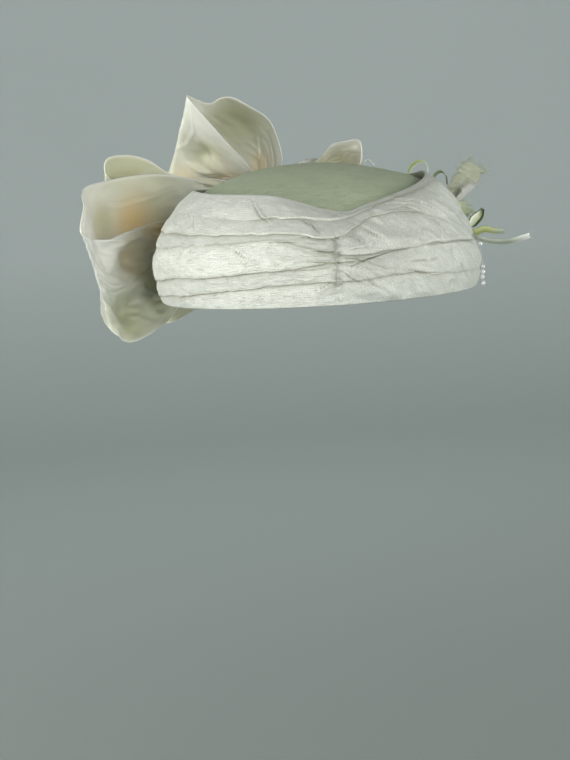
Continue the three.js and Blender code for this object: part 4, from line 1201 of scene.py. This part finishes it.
def make_pad():
    """A pad that follows the cap, thicker in three ragged rows."""
    share, level = np.linspace(0, 1, 110)[:, None], np.linspace(0, 1, 40)[None, :]
    angle = PAD_FROM + (PAD_TO - PAD_FROM) * share + 0 * level
    half = 0.5 * (PAD_HIGH - PAD_LOW) * np.sqrt(np.sin(np.pi * (0.06 + 0.88 * share)))
    height = (PAD_LOW + PAD_HIGH) / 2 + half * (2 * level - 1)
    x, y = angle * ARC_PER_DEGREE, height * WALL_HEIGHT
    ragged = 0.16 * ripples(x, 0 * x, 3.0, 1, 71)
    shingle = ((level + ragged) * 3) % 1
    edge = dome(level, 0.4) * dome(share, 0.4)
    wall = 0.5 + edge * (PAD_WALL - 0.6 + 1.1 * (1 - shingle) ** 1.5 + 0.3 * ripples(x, y, 3, 2, 72))
    sheet = on_cap(angle, height, PAD_LIFT - PAD_WALL / 2 + wall / 2)
    points, faces = shell(sheet, wall)
    # fold is painted shade along the top of each row, under the edge of the row that overlaps it.
    fold = np.tile((0.7 * np.clip(shingle - 0.75, 0, 1) * 4).ravel(), 2)
    flat = np.tile(np.stack([x + 0.3 * y, y], -1).reshape(-1, 2), (2, 1))
    piece = make_piece("spray_base", points, faces, PETAL_SILK, "petal_silk", flat, fold=fold)
    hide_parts("spray_pad")
    return piece


print(make_pad().name)

# %% [markdown]
# ## Petals, leaf and ribbon grass
#
# Each blade has a root on the pad, a few stations with a width each, and one direction across it.
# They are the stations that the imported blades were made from, so they are read from a table too.

# %% Stations of the blades
BLADES = {
    # across the blade; root angle, height, width and lift; belly; then x, y, z, width up its length
    "petal_tall": ((0.75, 0.1, -0.5), (117, 0.66, 5, 1.4), 2.0, [
        (90.5, 54, 50, 8), (96, 57.5, 55, 10.5), (101.5, 60, 60, 14), (105, 61.5, 63.5, 12.5)]),
    "petal_inner": ((0.5, 0.6, -0.4), (112, 0.62, 4, 1.3), 1.5, [
        (91.5, 44, 46, 5), (95.5, 47, 49.5, 8), (100, 50, 52.5, 6)]),
    "petal_low": ((-0.6, 0.1, 0.8), (107, 0.57, 6, 1.7), 1.5, [
        (89.5, 35, 37.5, 8), (92, 37, 40, 9), (95, 39, 41.5, 7)]),
    "leaf_striped": ((-0.7, 0.2, 0.5), (101, 0.52, 3, 1.2), 1.0, [
        (91.5, 21, 31, 4.5), (95, 23.5, 33.8, 6), (98.5, 26, 36.5, 4.5), (101, 28.5, 39.5, 1.3)]),
    "grass_yellow": ((0, 0.45, 0.9), (108, 0.49, 3, 0.8), 0.4, [
        (94, 22.5, 26.6, 4), (100, 25, 27.9, 4), (107, 28, 26.4, 3.6), (113, 30, 25.7, 2.6)]),
    "grass_white": ((0, 0.5, 0.85), (104, 0.47, 3, 0.4), 0.4, [
        (97, 17.5, 22.4, 3.4), (112, 21.5, 20.1, 3.4), (126.8, 26, 22.4, 3.4)]),
    "grass_curl_striped": ((0.25, 0.65, -0.6), (139, 0.72, 3, 0.8), 0.3, [
        (69, 89, 56, 3.4), (72, 88, 64.5, 3.4), (77.5, 86, 68.2, 3.4), (81.6, 86, 65.8, 3.4),
        (82.4, 86, 59, 2.4)]),
    "grass_curl_olive": ((0.45, 0.75, -0.45), (127, 0.7, 3, 1.3), 0.3, [
        (81, 71, 53, 3.2), (82.7, 70, 59.6, 3.2), (86.3, 70, 61.6, 3.2), (88.9, 69, 59.6, 3.2),
        (89.5, 68, 54, 2.4)]),
    "grass_curl_pale": ((0.3, 0.9, 0), (144, 0.66, 3, 1.8), 0.3, [
        (50, 97, 52, 3), (45, 98, 66, 3), (48, 98, 71.5, 3), (52, 98, 68, 2.4)])}
BLADE_LOOKS = {
    # material, slot, how far the edges wander, loose threads at the end and at each edge
    "petal_tall": (PETAL_SILK, "petal_silk", 1.3, 110, 26),
    "petal_inner": (PALE_SILK, "petal_silk", 0.9, 60, 16),
    "petal_low": (TUFT_SILK, "petal_silk", 0.8, 44, 16),
    "leaf_striped": (GRASS["leaf"], "grass_ribbon_leaf", 0.0, 0, 0),
    "grass_yellow": (GRASS["yellow"], "grass_ribbon_yellow", 0.0, 0, 0),
    "grass_white": (GRASS["white"], "grass_ribbon_white", 0.0, 5, 0),
    "grass_curl_striped": (GRASS["striped"], "grass_ribbon_striped", 0.0, 0, 0),
    "grass_curl_olive": (GRASS["olive"], "grass_ribbon_olive", 0.0, 0, 0),
    "grass_curl_pale": (GRASS["white"], "grass_ribbon_white", 0.0, 0, 0)}
BLADE_ROOT = PAD_LIFT + PAD_WALL / 2 + GAP
BLADE_WALL = 0.3


def blade_stations(side, root, cup, path):
    """The blade's rows as stations: its two edges, and how far the middle bellies out."""
    angle, height, width, lift = root
    start = on_cap(angle, height, BLADE_ROOT + lift)
    across = np.array(side) / np.linalg.norm(side)
    stations = []
    for i, (x, y, z, wide) in enumerate([(*start, width), *path]):
        middle, half = np.array([x, y, z]), across * wide / 2
        stations.append((*(middle + half), *(middle - half), cup if i else 0))
    return stations


print(len(BLADES), "blades")

# %% [markdown]
# Petals are torn from silk, so their edges wander and loose threads stand out of their ends. A hair
# system could grow such threads, but these few are quicker to place one by one, and each is a thin
# closed body with four sides. Ribbon grass is cut clean.

# %% Loose threads
def loose_threads(starts, ways, lengths, droop, radius, rng):
    """Thin closed threads, one from each start: their points and faces."""
    steps = np.linspace(0, 1, 6)[None, :, None]
    bend = rng.normal(0, 0.28, starts.shape)[:, None, :] + np.array([0, 0, -droop])
    path = starts[:, None, :] + lengths[:, None, None] * (ways[:, None, :] * steps + bend * steps**2)
    tangent = np.gradient(path, axis=1)
    first = np.cross(tangent, rng.normal(size=(len(starts), 1, 3)))
    first /= np.linalg.norm(first, axis=2, keepdims=True)
    second = np.cross(tangent, first)
    second /= np.linalg.norm(second, axis=2, keepdims=True)
    thin = radius * (1 - 0.5 * steps)
    ring = np.stack([path + thin * first, path + thin * second, path - thin * first, path - thin * second], 2)
    one = np.concatenate([grid_faces(6, 4, wrap=True), [[3, 2, 1, 0]], [[20, 21, 22, 23]]])
    return ring.reshape(-1, 3), (one[None] + 24 * np.arange(len(starts))[:, None, None]).reshape(-1, 4)


def frayed(sheet, ends, edges, rng):
    """Where loose threads leave a torn sheet and which way they run."""
    rows, lanes = sheet.shape[:2]
    flow = np.gradient(sheet, axis=0)
    flow /= np.linalg.norm(flow, axis=2, keepdims=True)
    spread = np.gradient(sheet, axis=1)
    spread /= np.linalg.norm(spread, axis=2, keepdims=True)
    lane = rng.integers(0, lanes, ends)
    fanned = 0.35 * spread[-1, lane] * (2 * lane[:, None] / lanes - 1)
    starts, ways = [sheet[-1, lane]], [flow[-1, lane] + fanned]
    for column, turn in ((0, -1), (lanes - 1, 1)):
        row = rng.integers(rows // 2, rows, edges)
        starts.append(sheet[row, column])
        ways.append(turn * spread[row, column] + 0.7 * flow[row, column])
    return np.concatenate(starts), np.concatenate(ways)


one_way = np.ones((1, 3))
thread, thread_faces = loose_threads(0 * one_way, one_way, np.ones(1), 0, 0.1, np.random.default_rng(0))
print("a loose thread has", len(thread), "points and", len(thread_faces), "faces")

# %% [markdown]
# A blade is a strip too. Where it is torn, its two edges move in and out, its face ripples, and loose
# threads leave its end and its edges. The masks `across` and `end` tell the ribbon grass where on the
# blade a point is.

# %% The blades
def make_blade(name, seed):
    """One petal, the leaf or one length of ribbon grass."""
    side, root, cup, path = BLADES[name]
    material, slot, wander, ends, edges = BLADE_LOOKS[name]
    rng = np.random.default_rng(seed)
    sheet = strip_sheet(blade_stations(side, root, cup, path), 12, 16)
    rows, lanes = sheet.shape[:2]
    middle = sheet[:, lanes // 2 : lanes // 2 + 1]
    run = np.concatenate([[0], np.cumsum(np.linalg.norm(np.diff(middle[:, 0], axis=0), axis=1))])[:, None]
    width = np.linalg.norm(sheet[:, -1] - sheet[:, 0], axis=1)[:, None]
    share = np.linspace(0, 1, lanes)[None, :]
    left, right = ripples(run, 0 * run, 2.2, 1, seed), ripples(run, 0 * run, 1.8, 1, seed + 9)
    torn = 1 + wander * 0.16 * np.where(share < 0.5, left, right)
    sheet = middle + (sheet - middle) * torn[..., None]
    along, over = run + 0 * share, width * share
    lift = 0.5 * ripples(along, over, 5, 3.5, seed + 3) + 0.25 * ripples(along, over, 2, 1.4, seed + 4)
    sheet = sheet + sheet_normals(sheet) * (wander * lift)[..., None]
    points, faces = shell(sheet, BLADE_WALL)
    across = np.tile(np.broadcast_to(share, (rows, lanes)).ravel(), 2)
    tip = np.clip((run / run.max() - 0.7) / 0.3, 0, 1)
    end = np.tile(np.broadcast_to(tip, (rows, lanes)).ravel(), 2)
    flat = np.tile(np.stack([along, over], -1).reshape(-1, 2), (2, 1))
    if ends + edges:
        starts, ways = frayed(sheet, ends, edges, rng)
        lengths = rng.uniform(1.2, 4.6, len(starts)) * (0.6 + 0.4 * wander)
        extra, more = loose_threads(starts, ways, lengths, 0.1, 0.09, rng)
        faces = np.concatenate([faces, more + len(points)])
        points = np.concatenate([points, extra])
        across = np.concatenate([across, np.full(len(extra), 0.5)])
        end = np.concatenate([end, np.ones(len(extra))])
        flat = np.concatenate([flat, extra[:, :2]])
    kind = "silk_" if name.startswith("petal") else "ribbon_"
    piece = make_piece(
        kind + name, points, faces, material, slot, flat, across=across, end=end, fold=np.zeros(len(points)))
    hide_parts(name)
    return piece


for i, name in enumerate(BLADES):
    print(make_blade(name, 81 + i).name)

# %% [markdown]
# ## Stitches
#
# The pleats are caught by hand: short stitches cross the tuck one above the other, a small tuft of
# thread ends sticks out at its foot, and a few more stitches hold the top fold near the lip. A stitch
# is a loose thread that happens to be short, straight and thick, so the same helper makes them all.

# %% Stitches
STITCHES = [
    # angle, height share, distance out, length in mm, lean in degrees
    (-3.9, 0.25, 1.3, 2.6, 20), (-3.6, 0.31, 1.1, 2.2, -15), (-4.1, 0.38, 1.4, 3.0, 10),
    (-3.5, 0.45, 1.1, 2.1, -25), (-4.0, 0.52, 1.5, 2.8, 15), (-3.5, 0.58, 1.2, 2.2, -20),
    (-3.9, 0.65, 1.4, 2.6, 30), (-3.4, 0.71, 1.2, 2.0, -35), (9, 0.965, 1.3, 1.3, 60),
    (12, 0.96, 1.3, 1.1, 40), (14.5, 0.955, 1.3, 1.3, 70), (17, 0.96, 1.3, 1.0, 30),
    (19.5, 0.955, 1.3, 1.2, 55), (22, 0.96, 1.3, 1.0, 75)]
TUFT_THREADS = 14


def make_stitches():
    """All the stitches and the tuft as one piece."""
    rng = np.random.default_rng(95)
    table = np.array(STITCHES)
    starts = on_cap(table[:, 0], table[:, 1], table[:, 2])
    lean = np.radians(table[:, 4])
    turn = np.radians(table[:, 0])
    ways = np.stack([np.cos(turn) * np.cos(lean), np.sin(turn) * np.cos(lean), np.sin(lean)], -1)
    tuft = np.repeat(on_cap([-2.6], [0.245], [1.5]), TUFT_THREADS, axis=0)
    spray = rng.normal(0, 0.6, tuft.shape) + np.array([0, -0.8, -0.2])
    points, faces = loose_threads(
        np.concatenate([starts, tuft]), np.concatenate([ways, spray]),
        np.concatenate([table[:, 3], rng.uniform(1.4, 3.6, TUFT_THREADS)]), 0.0, 0.26, rng)
    piece = make_piece(
        "stitches", points, faces, PALE_SILK, "drape_silk", points[:, ::2], fold=np.zeros(len(points)))
    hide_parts("side_drape")
    return piece


print(make_stitches().name)

# %% [markdown]
# ## Crystals and their thread
#
# The five drilled crystals and the clear line that they hang on have their true shape in the packed
# model already, so they stay as they are and only get a better material.

# %% Crystals
for name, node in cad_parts.items():
    if name.startswith("crystal"):
        node.material_slots[0].material = LINE if name == "crystal_thread" else CRYSTAL
        print(name, "is", node.material_slots[0].material.name)

# %% [markdown]
# ## Stage and light
#
# A seamless cove, floor and wall in one sweep, gives a plain ground from every side. Three large soft
# panels stand hardly above the hat, so the side band is bright and the tip stays in half shade: a key
# at the left, a front one a little to the right, and a weak fill at the right. A fourth panel faces
# the wall behind the hat and has its back to the hat, so it only lights the ground. The cove's floor
# is painted a little darker than its wall, painted shade that darkens the ground low down, so that
# the hat stands out from it.

# %% The cove
FLOOR_SHADED_PAINT = (0.35, 0.39, 0.375)
WALL_PAINT = (0.46, 0.50, 0.495)
WALL_PAINT_PALE = (0.49, 0.53, 0.525)


def make_cove():
    """A round floor whose edge sweeps up into a wall."""
    material, shader = new_material("cove_paint")
    place = shader.add("ShaderNodeTexCoord", output=3)
    grain = shader.add("ShaderNodeTexNoise", {"Vector": place, "Scale": 3.0, "Detail": 2.0})
    rise = ((shader.add("ShaderNodeSeparateXYZ", {"Vector": place}, output=2) + 0.32) / 0.25).clamp()
    # The floor's darker colour is painted shade: the ground turns darker low down.
    base = rise.between(FLOOR_SHADED_PAINT, grain.between(WALL_PAINT, WALL_PAINT_PALE))
    finish_material(shader, base, 0.9)
    bend = np.radians(np.linspace(-90, 0, 16))
    profile = [(0.05, -0.30), (0.6, -0.30), (1.3, -0.30)]
    profile += [(1.5 + 1.2 * math.cos(a), 0.90 + 1.2 * math.sin(a)) for a in bend]
    profile += [(2.7, 1.6), (2.7, 2.4)]
    turns = np.linspace(0, 2 * np.pi, 96, endpoint=False)
    points = np.array([[(r * math.cos(t), r * math.sin(t), z) for t in turns] for r, z in profile])
    mesh = bpy.data.meshes.new("cove")
    hub = list(range(len(turns)))[::-1]
    faces = grid_faces(len(profile), len(turns), wrap=True).tolist() + [hub]
    mesh.from_pydata(points.reshape(-1, 3).tolist(), [], faces)
    mesh.polygons.foreach_set("use_smooth", [True] * len(mesh.polygons))
    mesh.materials.append(material)
    cove = bpy.data.objects.new("cove", mesh)
    bpy.context.scene.collection.objects.link(cove)
    return cove


print(make_cove().name)

# %% Lights
def area_light(name, place, aim, size, power, colour):
    """A rectangular panel of light at a place, turned to face its aim."""
    lamp = bpy.data.lights.new(name, "AREA")
    lamp.shape, lamp.size, lamp.size_y = "RECTANGLE", size[0], size[1]
    lamp.energy, lamp.color = power, colour
    light = bpy.data.objects.new(name, lamp)
    light.location = place
    light.rotation_euler = (Vector(aim) - Vector(place)).to_track_quat("-Z", "Y").to_euler()
    bpy.context.scene.collection.objects.link(light)
    return light


area_light("key", (-1.40, -0.30, 0.20), (0, 0, 0.03), (0.8, 0.8), 19.5, (1.0, 1.0, 0.97))
area_light("front", (0.42, -1.38, 0.22), (0, 0, 0.03), (0.8, 0.8), 13.0, (1.0, 1.0, 0.97))
area_light("fill", (1.40, -0.40, 0.20), (0, 0, 0.03), (0.7, 0.7), 5, (0.97, 1.0, 0.98))
area_light("ground", (0.0, 0.6, 1.2), (0, 2.6, 0.5), (1.8, 0.8), 17, (0.96, 1.0, 0.99))

world = bpy.data.worlds.new("studio_air")
world.use_nodes = True
world.node_tree.nodes["Background"].inputs["Color"].default_value = (0.78, 0.90, 0.86, 1)
world.node_tree.nodes["Background"].inputs["Strength"].default_value = 0.14
bpy.context.scene.world = world
bpy.context.scene.view_settings.view_transform = "Standard"
print("lights set")
